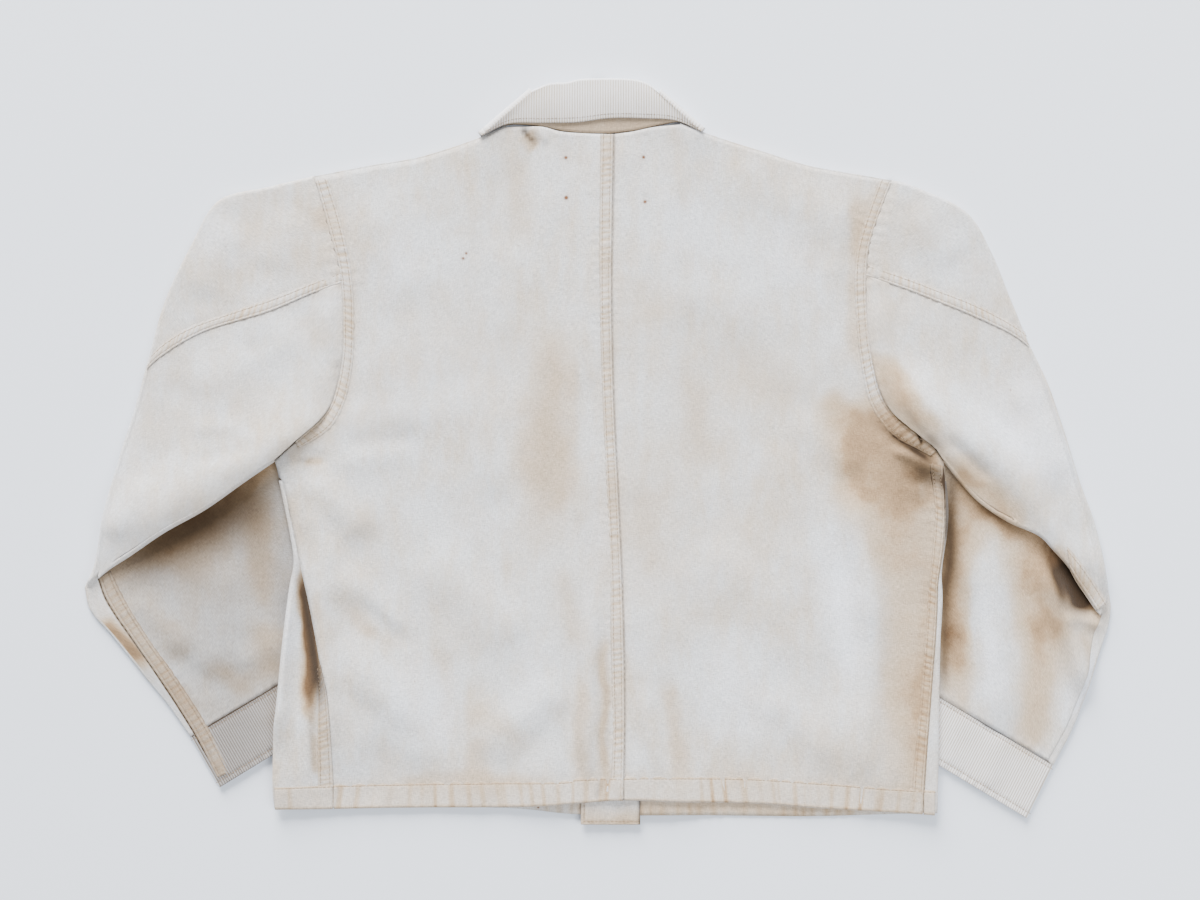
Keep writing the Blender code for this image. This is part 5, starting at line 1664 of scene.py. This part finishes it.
HEM_CROSSINGS = (0.0170, 0.2870, -0.2450)
HEM_DARK_LINES = {0.0: 0.36, 0.07: 0.34}
HEM_PARTS = (-0.04, 0.0, 0.03, 0.07, 0.11, 0.17, 0.25, 0.34, 0.43, 0.52, 0.61, 0.70, 0.79, 0.87,
             0.93, 0.97, 1.00, 1.03, 1.045)
seam_lines = {"left": [], "right": []}
with_back = {"left": [], "right": []}
halves = {side: back_panel(side) for side in OUTLINES}
band, rows = felled_seam("centre_back_seam", CENTRE_BACK, CENTRE_FAR, back_height, 1.0)
with_back["left"].append(band)
seam_lines["left"] += rows
for side in OUTLINES:
    edge, far = ARMHOLE_BANDS[side]
    band, rows = felled_seam("armhole_seam_" + side, edge, far, back_height, 2.0 + len(side),
                             tan=0.28)
    with_back[side].append(band)
    seam_lines[side] += rows
band, rows = felled_seam("side_seam_right", *RIGHT_SIDE_BAND, back_height, 4.0, tan=0.46,
                         pucker=0.00030)
with_back["right"].append(band)
seam_lines["right"] += rows
for side, start, stop, seed in (("left", -0.2380, 0.0228, 1.0), ("right", 0.0228, 0.2930, 2.0)):
    band, line = hem_band("hem_back_" + side, start, stop, seed)
    with_back[side].append(band)
    seam_lines[side].append(line)
for side, start, stop in (("left", -0.2910, -0.2382), ("right", 0.2932, 0.3040)):
    band, line = hem_band("hem_front_" + side, start, stop, 3.0)
    seam_lines[side].append(line)
for side in OUTLINES:
    thread = stitching("back_%s_stitches" % side, seam_lines[side])
    placed(halves[side], "back_" + side)

# ---------------------------------------------------------------- collar
# A folded corduroy collar with its wales running up and down, over a stand of duck. The collar
# lies flat, rolled over at its top edge; a little of the stand shows below it.
COLLAR_MIDDLE = 0.0051
FALL_OFFSET = 0.0045
STAND_OFFSET = 0.0027
STAND_SHORTENED = 0.03
STAND_STAIN = 0.72
STAND_SOIL = 0.28
COLLAR_CROWN = 0.0016
COLLAR_OPENING = 0.006
COLLAR_LOWER = metres([(-105.2, 284.8), (-81, 295.5), (-49.5, 296.2), (-19.8, 296.8), (9.9, 300.5),
                       (39.6, 300.5), (70, 298.5), (93.5, 288.5)])
COLLAR_UPPER = metres([(-60, 323.5), (-43.6, 330), (-28.8, 331), (-13.8, 334), (14.6, 334.5),
                       (32.4, 333.5), (44.5, 330), (54.9, 322.5)])
STAND_LOWER = metres([(-93, 293.5), (-78, 296), (-51.3, 294), (-29.7, 289.5), (1.8, 287.4),
                      (29.7, 289.6), (49.5, 293.8), (70, 298), (80, 296.5)])
COLLAR_COLUMNS = 480
COLLAR_ROWS = 52
HIDDEN_COLUMNS = 30


def collar_band(lower, offset, shortened=0.0, wales=0.0, columns=COLLAR_COLUMNS,
                rows=COLLAR_ROWS):
    """A band round the neck as it lies: one front end, round the side, across the back, round
    the other side, and the other front end, from the lower edge to the upper one."""
    low = through(lower, columns)
    high = through(COLLAR_UPPER, columns)
    high += shortened * (low - high)
    left = through([tuple(low[0]), tuple(high[0])], rows)
    right = through([tuple(low[-1]), tuple(high[-1])], rows)
    flat = patch(low, high, left, right)
    height_up = np.linspace(0, 1, rows + 1)[:, None]
    crown = COLLAR_CROWN * np.sin(math.pi * height_up) if wales else 0.0
    top = raised(flat, COLLAR_MIDDLE + offset + crown + wales * wale(flat[..., 0])
                 + (0.3 * slack(flat, 51) if wales else 0))
    under = raised(flat, COLLAR_MIDDLE - offset)[:, ::columns // HIDDEN_COLUMNS]
    middle = under.shape[1] // 2
    step = np.array([COLLAR_OPENING, 0, 0])
    front_left = [under[:, column] for column in range(middle)]
    front_left.append(under[:, middle] - step)
    front_right = [under[:, middle] + step]
    front_right += [under[:, column] for column in range(middle + 1, under.shape[1])]
    left_turn = turn(under[:, 0], top[:, 0], outward_of(left, right), offset, 5)
    right_turn = turn(top[:, -1], under[:, -1], outward_of(right, left), offset, 5)
    around = (front_left[::-1] + left_turn + [top[:, column] for column in range(top.shape[1])]
              + right_turn + front_right[::-1])
    shown = np.zeros(len(around))
    first = len(front_left) + len(left_turn)
    shown[first:first + top.shape[1]] = 1
    return np.array(around).transpose(1, 0, 2), shown


fall, shown = collar_band(COLLAR_LOWER, FALL_OFFSET, wales=WALE_HEIGHT)
facing, _ = collar_band(STAND_LOWER, 2 * STAND_OFFSET - FALL_OFFSET)
upward = np.tile((0.0, 1.0), (fall.shape[1], 1))
over = turn(fall[-1], facing[-1], upward, FALL_OFFSET - STAND_OFFSET, 7)
collar_grid = np.array(list(fall) + over + [facing[-1], facing[-3]])
# The grooves between the wales are drawn tan and darker, as painted shade; the lower edge and a line
# near it are drawn darker too.
groove = (1 - wale(fall[..., 0])) * shown
collar_stain_and_shade = np.zeros(collar_grid.shape[:2])
collar_stain_and_shade[:len(fall)] = 0.05 + 0.85 * groove
collar_stain_and_shade[:4] += 0.20
collar_soil_and_shade = np.zeros(collar_grid.shape[:2])
collar_soil_and_shade[:len(fall)] = 0.16 * groove
collar_soil_and_shade[:2] = 0.40
collar_soil_and_shade[5:7] += 0.18
collar_top = grid_object("collar_corduroy", [collar_grid], corduroy, [collar_stain_and_shade],
                         [collar_soil_and_shade], wall=CLOTH * 0.8)
fall_edge = fall[6, shown > 0]
fall_edge = fall_edge[::3] + (0, 0, CLOTH * 0.4 + 0.0001)
collar_thread = stitching("collar_stitches", [fall_edge])
placed(collar_top, "collar_top")

stand, _ = collar_band(STAND_LOWER, STAND_OFFSET, STAND_SHORTENED, columns=120,
                       rows=16)
collar_under = grid_object("collar_stand", [stand], duck_seam,
                           [np.full(stand.shape[:2], STAND_STAIN)],
                           [np.full(stand.shape[:2], STAND_SOIL)])
placed(collar_under, "collar_under")
